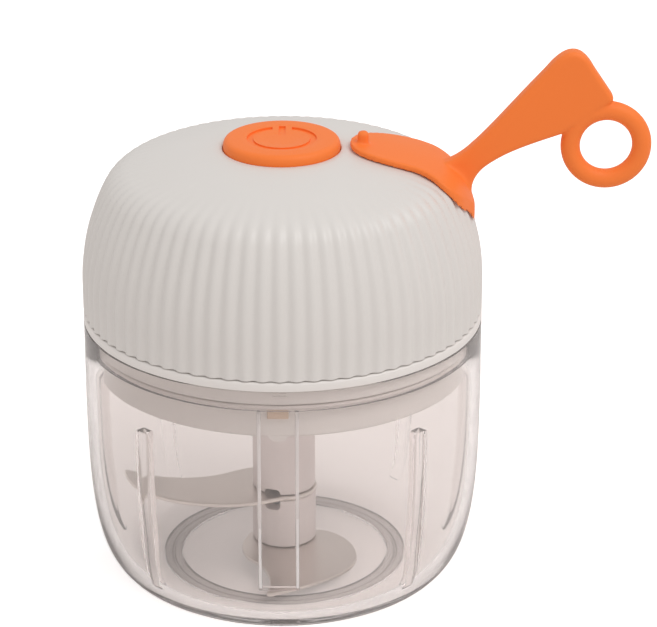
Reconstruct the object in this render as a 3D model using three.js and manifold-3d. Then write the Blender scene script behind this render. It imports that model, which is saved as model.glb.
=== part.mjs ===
// Cordless mini food chopper: a clear bowl, a lifting blade hub, and a ribbed power head.
// Units are millimetres, +Z is up, the origin is the centre of the bowl's flat base.
import * as THREE from "three";
import { mergeVertices } from "three/addons/utils/BufferGeometryUtils.js";
import Module from "manifold-3d";

const wasm = await Module();
wasm.setup();

// ---------------------------------------------------------------- driving dimensions
const BODY_R = 45.57; // widest outer radius of the bowl
const WALL = 2.3; // bowl wall
const GAP = 0.3; // clearance between neighbouring pieces
const FINE_GAP = 0.1; // clearance of a piece pressed into its seat
const ROUND_SIDES = 40; // facets of the large turned pieces
const MID_SIDES = 24; // facets of the button, the hub and the motor
const SMALL_SIDES = 20; // facets of the small turned pieces

const BOWL_BASE_R = 31; // flat underside
const FLOOR_TOP = 2.9;
const LEDGE_Z = 57.9; // step that carries the lid seal
const RIM_Z = 62.7; // top edge of the bowl
const RIM_INNER_R = 44.35;
const EDGE_R = BODY_R - 0.07; // slight draft at the rim, shared by the lid's edge band
const FOOT = { inner: 24.3, outer: 28.7, depth: 1.2 };

const PIN_R = 2.5;
const PIN_BOTTOM = 0.9;
const PIN_TOP = 35.2;
const HUB_R = 7.45;
const HUB_BORE_R = 4.4;
const HUB_BOTTOM = 3.4;
const HUB_TOP = 51.5;
const LOWER_BLADE_Z = 4.8;
const UPPER_BLADE_Z = 18.4;
const BLADE_THICK = 1;

const SKIRT_R = 42;
const SKIRT_BOTTOM = 51;
const DECK_BOTTOM = 58;
const DECK_TOP = 60.4;
const COLLAR_R = 44.05;
const LID_EDGE = { bottom: 63, top: 65, rounding: 0.45 };

const DOME_BOTTOM = 65.3;
const DOME_WALL = 2.1;
const DOME_SIDE = { x: -2, z: 71.9, radius: 47.5 }; // arc of the dome's side
const DOME_CROWN = { x: 0, z: -14.45, radius: 118 }; // arc of the dome's crown
const SHOULDER_R = 9; // arc that joins the two

const SHAFT_R = 1.15;
const MOTOR_R = 13.85;
const MOTOR = { bottom: 60.8, top: 90 };
const BOARD = { radius: 21.5, bottom: 93.4, top: 95 };
const BUTTON = { radius: 13.15, flange: 14.7, bottom: 99.6, top: 104.9 };
const BUTTON_HOLE_R = 13.45;

const STRAP_THICK = 1.7;
const COVER_END_X = 33.2; // outer end of the hinged port cover
const FLEX = { x: 42.6, z: 98.8, radius: 3 }; // bending point of the carrying strap
const ARM_LEAN = 48; // degrees the arm stands above the horizontal
const BEND_ROOM = { up: 48, down: 28 }; // degrees left free round the bend

// ---------------------------------------------------------------- materials
const finish = (color, roughness, metalness = 0, opacity = 1) =>
  new THREE.MeshStandardMaterial({
    color,
    roughness,
    metalness,
    opacity,
    transparent: opacity < 1,
  });

const CLEAR = finish(0xdccfcb, 0.08, 0, 0.35);
const WHITE = finish(0xdad7d2, 0.4);
const HUB_WHITE = finish(0xcac2c0, 0.45);
const ORANGE = finish(0xfb8544, 0.6);
const SEAL = finish(0xd9d4cf, 0.7);
const STEEL = finish(0xb9aea6, 0.3, 1);
const DARK_STEEL = finish(0x77787a, 0.4, 1);
const COPPER = finish(0xb06a3a, 0.4, 1);
const BRONZE = finish(0x9c7a45, 0.4, 1);
const FERRITE = finish(0x3a3a3c, 0.8);
const BOARD_GREEN = finish(0x2c5a3c, 0.5);
const BLACK = finish(0x2a2a2c, 0.5);
const CELL_BLUE = finish(0x3c5f8a, 0.4);
const WIRE_RED = finish(0xa83028, 0.5);
const WIRE_BLACK = finish(0x242424, 0.5);

// ---------------------------------------------------------------- solids
/** A closed geometry as a solid whose faces point outwards. */
function solid(geometry) {
  const bare = geometry.clone();
  bare.deleteAttribute("normal");
  bare.deleteAttribute("uv");
  const merged = mergeVertices(bare);
  const index = merged.index.array;
  const corners = [];
  for (let i = 0; i < index.length; i += 3) {
    const [a, b, c] = [index[i], index[i + 1], index[i + 2]];
    if (a !== b && b !== c && c !== a) corners.push(a, b, c);
  }
  const build = (triangles) =>
    new wasm.Manifold(
      new wasm.Mesh({
        numProp: 3,
        vertProperties: new Float32Array(merged.attributes.position.array),
        triVerts: new Uint32Array(triangles),
      }),
    );
  const made = build(corners);
  return made.volume() > 0 ? made : build(corners.reverse());
}

/** A solid turned about Z from [radius, height] points. */
function turned(points, sides = SMALL_SIDES) {
  const outline = points.map(([r, z]) => new THREE.Vector2(r, z));
  const onAxis = points[0][0] === 0 && points.at(-1)[0] === 0;
  if (!onAxis) outline.push(outline[0].clone());
  return solid(new THREE.LatheGeometry(outline, sides).rotateX(Math.PI / 2));
}

/** A plain ring or disc between two radii and two heights. */
function ring(inner, outer, bottom, top, sides = SMALL_SIDES) {
  const low = [[inner, bottom], [outer, bottom]];
  const high = [[outer, top], [inner, top]];
  return turned([...low, ...high], sides);
}

/** A box from its lowest corner to its highest corner. */
function block(low, high) {
  const size = high.map((value, i) => value - low[i]);
  const middle = high.map((value, i) => (value + low[i]) / 2);
  return solid(new THREE.BoxGeometry(...size).translate(...middle));
}

/** A flat outline in X and Y given a height. */
function plate(shape, bottom, top, curveSegments = 10) {
  const depth = top - bottom;
  const geometry = new THREE.ExtrudeGeometry(shape, { depth, curveSegments, bevelEnabled: false });
  return solid(geometry.translate(0, 0, bottom));
}

/** A flat outline in X and Z given a width along Y. */
function slab(shape, halfWidth, curveSegments = 10) {
  const depth = 2 * halfWidth;
  const geometry = new THREE.ExtrudeGeometry(shape, { depth, curveSegments, bevelEnabled: false });
  return solid(geometry.translate(0, 0, -halfWidth).rotateX(Math.PI / 2));
}

/** A round bar along Y through a point of the XZ plane. */
function crossBar(x, z, radius, halfWidth) {
  const bar = new THREE.CylinderGeometry(radius, radius, 2 * halfWidth, SMALL_SIDES);
  return solid(bar.translate(x, 0, z));
}

/** A hexagonal bar on the Z axis, sized across its flats. */
function hexBar(acrossFlats, bottom, top) {
  const radius = acrossFlats / Math.sqrt(3);
  const bar = new THREE.CylinderGeometry(radius, radius, top - bottom, 6).rotateX(Math.PI / 2);
  return solid(bar.translate(0, 0, (top + bottom) / 2));
}

/** Points of an arc, angles in radians from +X towards +Z. */
function arc({ x, z, radius }, from, to, steps) {
  return Array.from({ length: steps + 1 }, (_, i) => {
    const angle = from + ((to - from) * i) / steps;
    return [x + radius * Math.cos(angle), z + radius * Math.sin(angle)];
  });
}

/** Points of a Bezier curve in the profile plane. */
function bezier(corners, steps) {
  const curve = new THREE.CubicBezierCurve(...corners.map(([r, z]) => new THREE.Vector2(r, z)));
  return curve.getPoints(steps).map(({ x, y }) => [x, y]);
}

const group = new THREE.Group();

/** Add a solid to the object as a named mesh. */
function add(name, made, material) {
  const data = made.getMesh();
  const geometry = new THREE.BufferGeometry();
  geometry.setAttribute("position", new THREE.BufferAttribute(data.vertProperties, 3));
  geometry.setIndex(new THREE.BufferAttribute(data.triVerts, 1));
  geometry.computeVertexNormals();
  const mesh = new THREE.Mesh(geometry, material);
  mesh.name = name;
  group.add(mesh);
}

const union = (...solids) => solids.reduce((all, next) => all.add(next));
const turn = (made, degrees) => made.rotate([0, 0, degrees]);

// ---------------------------------------------------------------- bowl
const BOWL_OUTER = [[BOWL_BASE_R, 0], [43.9, 0], [BODY_R, 13.1], [BODY_R, 46.4]];
const BOWL_INNER_R = BODY_R - WALL;
const BOWL_INNER = [[BOWL_INNER_R, 46.4], [BOWL_INNER_R, 14.5], [41.6, FLOOR_TOP], [30, FLOOR_TOP]];
const PIN_BOSS = { radius: 3.5, top: 5 };
const BAFFLE = { bottom: 7, top: 47, halfWidth: 1.6, inner: 40.9 };
const KEYWAY = { x: -0.5, bottom: 13.5, top: 57.4, halfGap: 3.7, wall: 0.8, inner: 42.35 };

/** The bowl's wall and floor, with its foot groove and pin boss. */
function bowlShell() {
  const profile = [
    [0, 0],
    [FOOT.inner, 0],
    [FOOT.inner, FOOT.depth],
    [FOOT.outer, FOOT.depth],
    [FOOT.outer, 0],
    ...bezier(BOWL_OUTER, 7),
    [EDGE_R, RIM_Z],
    [RIM_INNER_R, RIM_Z],
    [RIM_INNER_R, LEDGE_Z],
    [BOWL_INNER_R, LEDGE_Z],
    ...bezier(BOWL_INNER, 6),
    [PIN_BOSS.radius, FLOOR_TOP],
    [PIN_BOSS.radius, PIN_BOSS.top],
    [0, PIN_BOSS.top],
  ];
  return turned(profile, ROUND_SIDES);
}

/** Everything inside the bowl's outer face, used to trim the ribs on its wall. */
function bowlFill() {
  const inset = 1;
  const outer = bezier(BOWL_OUTER, 7).map(([r, z]) => [r - inset, z + inset]);
  return turned([[0, inset], ...outer, [BODY_R - inset, LEDGE_Z], [0, LEDGE_Z]], ROUND_SIDES);
}

/** The bowl: shell, seven stirring ribs and the two fins of the lid's keyway. */
function bowl() {
  const rib = block(
    [BAFFLE.inner, -BAFFLE.halfWidth, BAFFLE.bottom],
    [BODY_R, BAFFLE.halfWidth, BAFFLE.top],
  );
  const ribs = [-45, 0, 45, 90, 135, 180, 225].map((degrees) => turn(rib, degrees));
  const outerFace = KEYWAY.halfGap + KEYWAY.wall;
  const fin = block([KEYWAY.halfGap, -BODY_R, KEYWAY.bottom], [outerFace, -KEYWAY.inner, KEYWAY.top]);
  const fins = fin.add(fin.mirror([1, 0, 0])).translate([KEYWAY.x, 0, 0]);
  const details = union(...ribs, fins).intersect(bowlFill());
  const pinHole = ring(0, PIN_R + FINE_GAP, PIN_BOTTOM - FINE_GAP, PIN_BOSS.top + 1);
  return bowlShell().add(details).subtract(pinHole);
}

add("bowl", bowl(), CLEAR);
add("foot_ring", ring(FOOT.inner + 0.2, FOOT.outer - 0.2, 0, FOOT.depth - FINE_GAP, ROUND_SIDES), SEAL);
add(
  "spindle_pin",
  turned([[0, PIN_BOTTOM], [PIN_R, PIN_BOTTOM], [PIN_R, PIN_TOP - 1], [PIN_R - 1, PIN_TOP], [0, PIN_TOP]]),
  STEEL,
);

// ---------------------------------------------------------------- blade hub
const BLADE_GAP = 0.2;
const BLADE_DISC_R = 7.7;
const SOCKET = { flats: 9, bottom: 41 };
const LOCATING_NOTCH = { x: -2.2, halfWidth: 1.8, depth: 2.9 };

/** Upper blade: a sickle that sweeps out towards -X. */
function upperBlade() {
  const outline = new THREE.Shape();
  outline.absarc(0, 0, BLADE_DISC_R, Math.PI / 2, -Math.PI / 2, true);
  outline.bezierCurveTo(-6, -10.5, -10, -11.6, -15.6, -11.3);
  outline.bezierCurveTo(-24, -10.8, -35.6, -6.5, -38.4, 6.2);
  outline.bezierCurveTo(-38.4, 7, -37.8, 7.2, -37.2, 6.8);
  outline.bezierCurveTo(-31, 3, -23, 1.2, -15.6, 4.4);
  outline.bezierCurveTo(-11.5, 6.2, -8, 10.5, 0, BLADE_DISC_R);
  return bladePlate(outline, UPPER_BLADE_Z);
}

/** Lower blade: a broad short sickle that sweeps the floor towards -Y. */
function lowerBlade() {
  const outline = new THREE.Shape();
  const hubStart = Math.PI * 0.9;
  outline.absarc(0, 0, BLADE_DISC_R, hubStart, Math.PI * 0.1, true);
  outline.bezierCurveTo(13, 2, 17.6, -5, 17, -12.3);
  outline.bezierCurveTo(16, -20.5, 6, -26, -2.6, -29.9);
  outline.bezierCurveTo(-3.4, -30, -3.8, -29.6, -3.6, -29);
  outline.bezierCurveTo(-2, -24, -3.5, -17, -7, -13.5);
  const end = [BLADE_DISC_R * Math.cos(hubStart), BLADE_DISC_R * Math.sin(hubStart)];
  outline.bezierCurveTo(-11, -9, -10.5, -3, ...end);
  return bladePlate(outline, LOWER_BLADE_Z);
}

/** A blade plate with its round hole for the hub's bushing. */
function bladePlate(outline, bottom) {
  const top = bottom + BLADE_THICK;
  return plate(outline, bottom, top).subtract(ring(0, HUB_BORE_R, bottom - 1, top + 1));
}

/** Middle sleeve of the hub, with the notch that locates the upper blade. */
function hubLower() {
  const top = UPPER_BLADE_Z - BLADE_GAP;
  const sleeve = ring(HUB_BORE_R, HUB_R, LOWER_BLADE_Z + BLADE_THICK + BLADE_GAP, top, MID_SIDES);
  const notch = block(
    [LOCATING_NOTCH.x - LOCATING_NOTCH.halfWidth, -HUB_R - 1, top - LOCATING_NOTCH.depth],
    [LOCATING_NOTCH.x + LOCATING_NOTCH.halfWidth, -3, top + 1],
  );
  return sleeve.subtract(notch);
}

/** Upper sleeve of the hub: closed over the pin, with the drive socket on top. */
function hubUpper() {
  const bottom = UPPER_BLADE_Z + BLADE_THICK + BLADE_GAP;
  const pinRoom = PIN_TOP + GAP;
  const radius = HUB_R - 0.15;
  const outline = [
    [0, pinRoom],
    [HUB_BORE_R, pinRoom],
    [HUB_BORE_R, bottom],
    [radius, bottom],
    [radius, HUB_TOP],
    [0, HUB_TOP],
  ];
  return turned(outline, MID_SIDES).subtract(hexBar(SOCKET.flats, SOCKET.bottom, HUB_TOP + 1));
}

add("hub_foot", ring(3.8, HUB_R, HUB_BOTTOM, LOWER_BLADE_Z - BLADE_GAP), HUB_WHITE);
add("blade_lower", lowerBlade(), STEEL);
add("hub_lower", hubLower(), HUB_WHITE);
add("blade_upper", upperBlade(), STEEL);
add("hub_upper", hubUpper(), HUB_WHITE);
add("hub_bushing", ring(PIN_R + 0.08, HUB_BORE_R - 0.2, PIN_BOSS.top + 0.4, PIN_TOP - 0.4), BRONZE);

// ---------------------------------------------------------------- lid base
const SHAFT_HOLE_R = 6.2;
const DOME_SCREW = { orbit: 36, angles: [60, 120, 240, 300], shank: 1.25, head: 2.75, post: 3.2 };
const POST_TOP = 67.2;
const BRACKET_POST = { orbit: 19.5, radius: 3, top: 83.7 };
const PORT_SCREW_X = 32.5;
const PORT_POST = { low: [30.6, -5, DECK_TOP - 1], high: [34.4, 5, 87] };
const KEY_LUG = { halfWidth: 2.3, bottom: 55.6, depth: 0.8 };

/** Turned part of the lid base: skirt, deck, collar and the visible edge band. */
function lidBaseShell() {
  const upstand = { inner: 42, outer: 43.1, top: 67 };
  return turned(
    [
      [SHAFT_HOLE_R, DECK_BOTTOM],
      [SKIRT_R - 1.4, DECK_BOTTOM],
      [SKIRT_R - 1.4, SKIRT_BOTTOM],
      [SKIRT_R, SKIRT_BOTTOM],
      [SKIRT_R, 59.4],
      [COLLAR_R, 59.4],
      [COLLAR_R, LID_EDGE.bottom],
      [EDGE_R - LID_EDGE.rounding, LID_EDGE.bottom],
      [EDGE_R, LID_EDGE.bottom + LID_EDGE.rounding],
      [EDGE_R, LID_EDGE.top - LID_EDGE.rounding],
      [EDGE_R - LID_EDGE.rounding, LID_EDGE.top],
      [upstand.outer, LID_EDGE.top],
      [upstand.outer, upstand.top],
      [upstand.inner, upstand.top],
      [upstand.inner, DECK_TOP],
      [SHAFT_HOLE_R, DECK_TOP],
    ],
    ROUND_SIDES,
  );
}

/** A post or hole at a dome screw, copied to all four places. */
function atDomeScrews(made) {
  const moved = made.translate([DOME_SCREW.orbit, 0, 0]);
  return union(...DOME_SCREW.angles.map((degrees) => turn(moved, degrees)));
}

/** The lid base: everything in the power head is fastened to it. */
function lidBase() {
  const motorSeat = ring(MOTOR_R + GAP, MOTOR_R + 1.7, DECK_TOP - 1, 68, MID_SIDES);
  const bracketPost = ring(0, BRACKET_POST.radius, DECK_TOP - 1, BRACKET_POST.top);
  const bracketPosts = union(
    bracketPost.translate([0, BRACKET_POST.orbit, 0]),
    bracketPost.translate([0, -BRACKET_POST.orbit, 0]),
  );
  const lug = block(
    [KEYWAY.x - KEY_LUG.halfWidth, -SKIRT_R - KEY_LUG.depth, KEY_LUG.bottom],
    [KEYWAY.x + KEY_LUG.halfWidth, -SKIRT_R + 1, DECK_BOTTOM],
  );
  const nib = crossBar(KEYWAY.x, SKIRT_BOTTOM + 1.2, 2.4, 0.6).translate([0, 0.7 - SKIRT_R, 0]);
  const screwPost = ring(0, DOME_SCREW.post, DECK_TOP - 1, POST_TOP);
  const shankHole = ring(0, DOME_SCREW.shank + GAP, DECK_BOTTOM - 1, POST_TOP + 1);
  const headHole = ring(0, DOME_SCREW.head + GAP, DECK_BOTTOM - 1, DECK_BOTTOM + 1.2);
  const bracketHole = ring(0, 1.4, 72, BRACKET_POST.top + 1);
  const portHole = ring(0, 1.1, 80, PORT_POST.high[2] + 1).translate([PORT_SCREW_X, 0, 0]);
  return union(
    lidBaseShell(),
    motorSeat,
    bracketPosts,
    lug,
    nib,
    block(PORT_POST.low, PORT_POST.high),
    atDomeScrews(screwPost),
  )
    .subtract(atDomeScrews(shankHole.add(headHole)))
    .subtract(bracketHole.translate([0, BRACKET_POST.orbit, 0]))
    .subtract(bracketHole.translate([0, -BRACKET_POST.orbit, 0]))
    .subtract(portHole);
}

add("lid_base", lidBase(), WHITE);
add("lid_seal", ring(SKIRT_R + GAP, COLLAR_R - 0.2, LEDGE_Z + 0.2, 59.1, ROUND_SIDES), SEAL);
add("shaft_seal", ring(4.6, SHAFT_HOLE_R - 0.2, DECK_BOTTOM + 0.2, DECK_TOP - 0.2), SEAL);

// ---------------------------------------------------------------- dome shell
/** Outer line of the dome from its foot to a crown radius, moved outwards by an offset. */
function domeLine(offset, crownR, steps = { side: 5, shoulder: 3, crown: 3 }) {
  const reach = DOME_SIDE.radius - SHOULDER_R;
  const crownReach = DOME_CROWN.radius - SHOULDER_R;
  const dx = DOME_CROWN.x - DOME_SIDE.x;
  const dz = DOME_CROWN.z - DOME_SIDE.z;
  const apart = Math.hypot(dx, dz);
  const along = (reach ** 2 - crownReach ** 2 + apart ** 2) / (2 * apart);
  const across = Math.sqrt(reach ** 2 - along ** 2);
  const shoulder = {
    x: DOME_SIDE.x + (along * dx - across * dz) / apart,
    z: DOME_SIDE.z + (along * dz + across * dx) / apart,
    radius: SHOULDER_R + offset,
  };
  const sideEnd = Math.atan2(shoulder.z - DOME_SIDE.z, shoulder.x - DOME_SIDE.x);
  const crownStart = Math.atan2(shoulder.z - DOME_CROWN.z, shoulder.x - DOME_CROWN.x);
  const crownEnd = Math.acos(crownR / (DOME_CROWN.radius + offset));
  const side = { ...DOME_SIDE, radius: DOME_SIDE.radius + offset };
  const crown = { ...DOME_CROWN, radius: DOME_CROWN.radius + offset };
  return [
    ...arc(side, 0, sideEnd, steps.side),
    ...arc(shoulder, sideEnd, crownStart, steps.shoulder).slice(1),
    ...arc(crown, crownStart, crownEnd, steps.crown).slice(1),
  ];
}

/** Everything inside the dome's outer face moved by an offset. */
function domeFill(offset) {
  const line = domeLine(offset, 0);
  const foot = [[0, DOME_BOTTOM], [line[0][0], DOME_BOTTOM]];
  return turned([...foot, ...line.slice(0, -1), [0, line.at(-1)[1]]], ROUND_SIDES);
}

const PORT_POCKET = { x: [24.2, 31.8], halfWidth: 6.8, floor: 96.7, lining: 1.3 };
const PORT_MOUTH = { x: [26.1, 29.9], halfWidth: 4.85 };
const STUD = { degrees: 25, shank: 1.6, head: 2.8 };

/** A round piece on the strap stud's slanted line, between two distances from the dome's face. */
function onStudLine(radius, from, to) {
  const pin = ring(0, radius, DOME_SIDE.radius + from, DOME_SIDE.radius + to);
  return pin.rotate([0, 90 - STUD.degrees, 0]).translate([DOME_SIDE.x, 0, DOME_SIDE.z]);
}

/** The dome: ribbed shell with screw bosses and a lined pocket for the charging port. */
function domeShell() {
  const inner = domeLine(-DOME_WALL, BUTTON_HOLE_R).reverse();
  const shell = turned(
    [
      [DOME_SIDE.x + DOME_SIDE.radius - DOME_WALL, DOME_BOTTOM],
      [DOME_SIDE.x + DOME_SIDE.radius, DOME_BOTTOM],
      ...domeLine(0, BUTTON_HOLE_R),
      ...inner,
    ],
    ROUND_SIDES,
  );
  const bossBottom = POST_TOP + GAP;
  const web = block([0, -1, bossBottom], [DOME_SIDE.radius, 1, 80]).translate([-DOME_SCREW.orbit, 0, 0]);
  const boss = ring(0, DOME_SCREW.post, bossBottom, 80).add(web.trimByPlane([1, 0, 0], 0));
  const lining = block(
    [PORT_POCKET.x[0] - PORT_POCKET.lining, -PORT_POCKET.halfWidth - PORT_POCKET.lining, 95.5],
    [PORT_POCKET.x[1] + PORT_POCKET.lining, PORT_POCKET.halfWidth + PORT_POCKET.lining, BUTTON.top],
  );
  const insides = atDomeScrews(boss).add(lining).intersect(domeFill(-0.8));
  const pocket = block(
    [PORT_POCKET.x[0], -PORT_POCKET.halfWidth, PORT_POCKET.floor],
    [PORT_POCKET.x[1], PORT_POCKET.halfWidth, BUTTON.top],
  );
  const mouth = block(
    [PORT_MOUTH.x[0], -PORT_MOUTH.halfWidth, 90],
    [PORT_MOUTH.x[1], PORT_MOUTH.halfWidth, BUTTON.top],
  );
  return union(shell, insides)
    .subtract(atDomeScrews(ring(0, DOME_SCREW.shank + FINE_GAP, 60, 77)))
    .subtract(pocket)
    .subtract(mouth)
    .subtract(onStudLine(STUD.shank + GAP, -8, 3));
}

add("dome_shell", domeShell(), WHITE);

/** A cap screw that points up, its head at the bottom. */
function screwUp({ shank, head }, bottom, headHeight, length) {
  const shaft = ring(0, shank, bottom, bottom + headHeight + length, 12);
  const cap = ring(0, head, bottom, bottom + headHeight, 12);
  return shaft.add(cap).subtract(hexBar(2, bottom - 1, bottom + headHeight * 0.6));
}

/** The same screw pointing down, its head on top at a height. */
function screwDown(size, top, headHeight, length) {
  return screwUp(size, -top, headHeight, length).rotate([180, 0, 0]);
}

DOME_SCREW.angles.forEach((degrees, i) => {
  const screw = screwUp(DOME_SCREW, DECK_BOTTOM + 0.1, 1, 15).translate([DOME_SCREW.orbit, 0, 0]);
  add(`dome_screw_${i + 1}`, turn(screw, degrees), DARK_STEEL);
});

// ---------------------------------------------------------------- motor
const CAN_WALL = 1;
const BEARING_R = 3;
const END_CAP = { bottom: 87.5, top: 91.5 };
const ROTOR = { radius: 9.3, bottom: 67, top: 83 };
const MAGNET = { inner: 10.2, outer: 12.6, bottom: 66, top: 84, spread: 130 };
const BRACKET = { bottom: 84, top: 86.5, pillarOrbit: 18, pillarTop: 93.1 };
const BRACKET_SCREW = { shank: 1.2, head: 2.4 };
const BOARD_SCREW = { shank: 1, head: 2.1 };

/** The motor's steel can, open at the top. */
function motorCan() {
  return turned(
    [
      [BEARING_R + FINE_GAP, MOTOR.bottom],
      [MOTOR_R, MOTOR.bottom],
      [MOTOR_R, MOTOR.top],
      [MOTOR_R - CAN_WALL, MOTOR.top],
      [MOTOR_R - CAN_WALL, MOTOR.bottom + CAN_WALL],
      [BEARING_R + FINE_GAP, MOTOR.bottom + CAN_WALL],
    ],
    MID_SIDES,
  );
}

/** The three-pole rotor. */
function rotor() {
  const slot = block([6, -1, ROTOR.bottom - 1], [12, 1, ROTOR.top + 1]);
  const slots = union(...[0, 120, 240].map((degrees) => turn(slot, degrees)));
  return ring(SHAFT_R + FINE_GAP, ROTOR.radius, ROTOR.bottom, ROTOR.top).subtract(slots);
}

/** One of the two arc magnets, on the side of the given direction. */
function magnet(degrees) {
  const full = ring(MAGNET.inner, MAGNET.outer, MAGNET.bottom, MAGNET.top, MID_SIDES);
  const cut = THREE.MathUtils.degToRad(MAGNET.spread / 2);
  const upper = full.trimByPlane([Math.sin(cut), -Math.cos(cut), 0], 0);
  return turn(upper.trimByPlane([Math.sin(cut), Math.cos(cut), 0], 0), degrees);
}

/** The motor's plastic end cap with its two solder terminals. */
function endCap() {
  const disc = ring(0, MOTOR_R - CAN_WALL - FINE_GAP, END_CAP.bottom, END_CAP.top);
  const terminal = block([5.5, -1.2, END_CAP.top - 0.5], [6.1, 1.2, END_CAP.top + 1.5]);
  const shaftRoom = ring(0, SHAFT_R + GAP, END_CAP.bottom - 0.5, END_CAP.top - 1.5);
  return union(disc, terminal, terminal.mirror([1, 0, 0])).subtract(shaftRoom);
}

/** The clamp ring over the motor, screwed down at two ears, with two pillars for the board. */
function motorBracket() {
  const clamp = ring(MOTOR_R + GAP, 16.6, BRACKET.bottom, BRACKET.top, MID_SIDES);
  const ear = ring(0, BRACKET_POST.radius, BRACKET.bottom, BRACKET.top);
  const pillar = ring(0, 2.5, BRACKET.bottom, BRACKET.pillarTop, 12);
  const earHole = ring(0, BRACKET_SCREW.shank + FINE_GAP, BRACKET.bottom - 1, BRACKET.top + 1);
  const pillarHole = ring(0, BOARD_SCREW.shank + FINE_GAP, 87, BRACKET.pillarTop + 1);
  const ears = [BRACKET_POST.orbit, -BRACKET_POST.orbit];
  const pillars = [BRACKET.pillarOrbit, -BRACKET.pillarOrbit];
  return union(
    clamp,
    ...ears.map((y) => ear.translate([0, y, 0])),
    ...pillars.map((x) => pillar.translate([x, 0, 0])),
  )
    .subtract(union(...ears.map((y) => earHole.translate([0, y, 0]))))
    .subtract(union(...pillars.map((x) => pillarHole.translate([x, 0, 0]))));
}

add("motor_can", motorCan(), DARK_STEEL);
add("motor_bearing", ring(SHAFT_R + 0.07, BEARING_R, MOTOR.bottom + FINE_GAP, 64), BRONZE);
add("motor_end_cap", endCap(), BLACK);
add("magnet_1", magnet(0), FERRITE);
add("magnet_2", magnet(180), FERRITE);
add("motor_bracket", motorBracket(), HUB_WHITE);
[1, -1].forEach((side, i) => {
  const screw = screwDown(BRACKET_SCREW, 88.3, 1.6, 12).translate([0, side * BRACKET_POST.orbit, 0]);
  add(`bracket_screw_${i + 1}`, screw, DARK_STEEL);
});

// ---------------------------------------------------------------- drive train
/** The drive coupling: a hexagonal nose below a round neck, bored for the motor shaft. */
function driveCoupling() {
  const nose = hexBar(8.2, 44.2, 55.2);
  const neck = ring(0, 4.5, 55, 59.9);
  return nose.add(neck).subtract(ring(0, SHAFT_R + FINE_GAP, 46.8, 61));
}

add("motor_shaft", ring(0, SHAFT_R, 47, 88.5), STEEL);
add("motor_rotor", rotor(), COPPER);
add("drive_coupling", driveCoupling(), HUB_WHITE);

// ---------------------------------------------------------------- battery
const CELL = { x: -24.4, z: 69.6, radius: 7.1, halfLength: 24.75 };

/** The saddle that holds the cell on the deck. */
function batteryTray() {
  const wall = 1;
  const halfWidth = CELL.radius + wall;
  const halfLength = CELL.halfLength + wall;
  const body = block(
    [CELL.x - halfWidth, -halfLength, DECK_TOP + 0.2],
    [CELL.x + halfWidth, halfLength, CELL.z - 0.6],
  );
  return body.subtract(crossBar(CELL.x, CELL.z, CELL.radius + 0.2, CELL.halfLength + 0.2));
}

add("battery_tray", batteryTray(), HUB_WHITE);
add("battery_cell", crossBar(CELL.x, CELL.z, CELL.radius, CELL.halfLength), CELL_BLUE);

// ---------------------------------------------------------------- boards and switch
const SWITCH = { half: 3, top: 98.2, boreR: 1.9, boreBottom: 95.8 };
const PLUNGER = { radius: 1.7, bottom: 96.7, top: 99.2 };
const PORT_BOARD = { low: [22, -7, 87.3], high: [35.4, 7, 88.8] };
const PORT_SHELL = { x: [26.4, 29.6], halfWidth: 4.45, bottom: 89.1, top: 96.4, wall: 0.4 };

/** The round control board with its two screw holes. */
function mainBoard() {
  const hole = ring(0, BOARD_SCREW.shank + GAP, BOARD.bottom - 1, BOARD.top + 1);
  const disc = ring(0, BOARD.radius, BOARD.bottom, BOARD.top, MID_SIDES);
  const holes = [BRACKET.pillarOrbit, -BRACKET.pillarOrbit].map((x) => hole.translate([x, 0, 0]));
  return disc.subtract(union(...holes));
}

/** The charging socket's metal shell with its mouth at the top. */
function chargingPort() {
  const outer = block(
    [PORT_SHELL.x[0], -PORT_SHELL.halfWidth, PORT_SHELL.bottom],
    [PORT_SHELL.x[1], PORT_SHELL.halfWidth, PORT_SHELL.top],
  );
  const mouth = block(
    [PORT_SHELL.x[0] + PORT_SHELL.wall, -PORT_SHELL.halfWidth + PORT_SHELL.wall, PORT_SHELL.bottom + 1.5],
    [PORT_SHELL.x[1] - PORT_SHELL.wall, PORT_SHELL.halfWidth - PORT_SHELL.wall, PORT_SHELL.top + 1],
  );
  const middle = (PORT_SHELL.x[0] + PORT_SHELL.x[1]) / 2;
  const tongue = block([middle - 0.3, -3, PORT_SHELL.bottom], [middle + 0.3, 3, PORT_SHELL.top - 1]);
  return outer.subtract(mouth).add(tongue);
}

const switchBody = block(
  [-SWITCH.half, -SWITCH.half, BOARD.top + 0.2],
  [SWITCH.half, SWITCH.half, SWITCH.top],
);
const portBoardHole = ring(0, 1.3, 86, 90).translate([PORT_SCREW_X, 0, 0]);
const portBoard = block(PORT_BOARD.low, PORT_BOARD.high).subtract(portBoardHole);

add("main_board", mainBoard(), BOARD_GREEN);
[1, -1].forEach((side, i) => {
  const screw = screwDown(BOARD_SCREW, 96.5, 1.3, 7).translate([side * BRACKET.pillarOrbit, 0, 0]);
  add(`board_screw_${i + 1}`, screw, DARK_STEEL);
});
add("tact_switch", switchBody.subtract(ring(0, SWITCH.boreR, SWITCH.boreBottom, SWITCH.top + 1)), BLACK);
add("switch_plunger", ring(0, PLUNGER.radius, PLUNGER.bottom, PLUNGER.top), HUB_WHITE);
add("charging_board", portBoard, BOARD_GREEN);
add("charging_port", chargingPort(), STEEL);
const portScrew = screwDown({ shank: 1, head: 1.9 }, 90.1, 1.1, 6);
add("charging_screw", portScrew.translate([PORT_SCREW_X, 0, 0]), DARK_STEEL);

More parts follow.
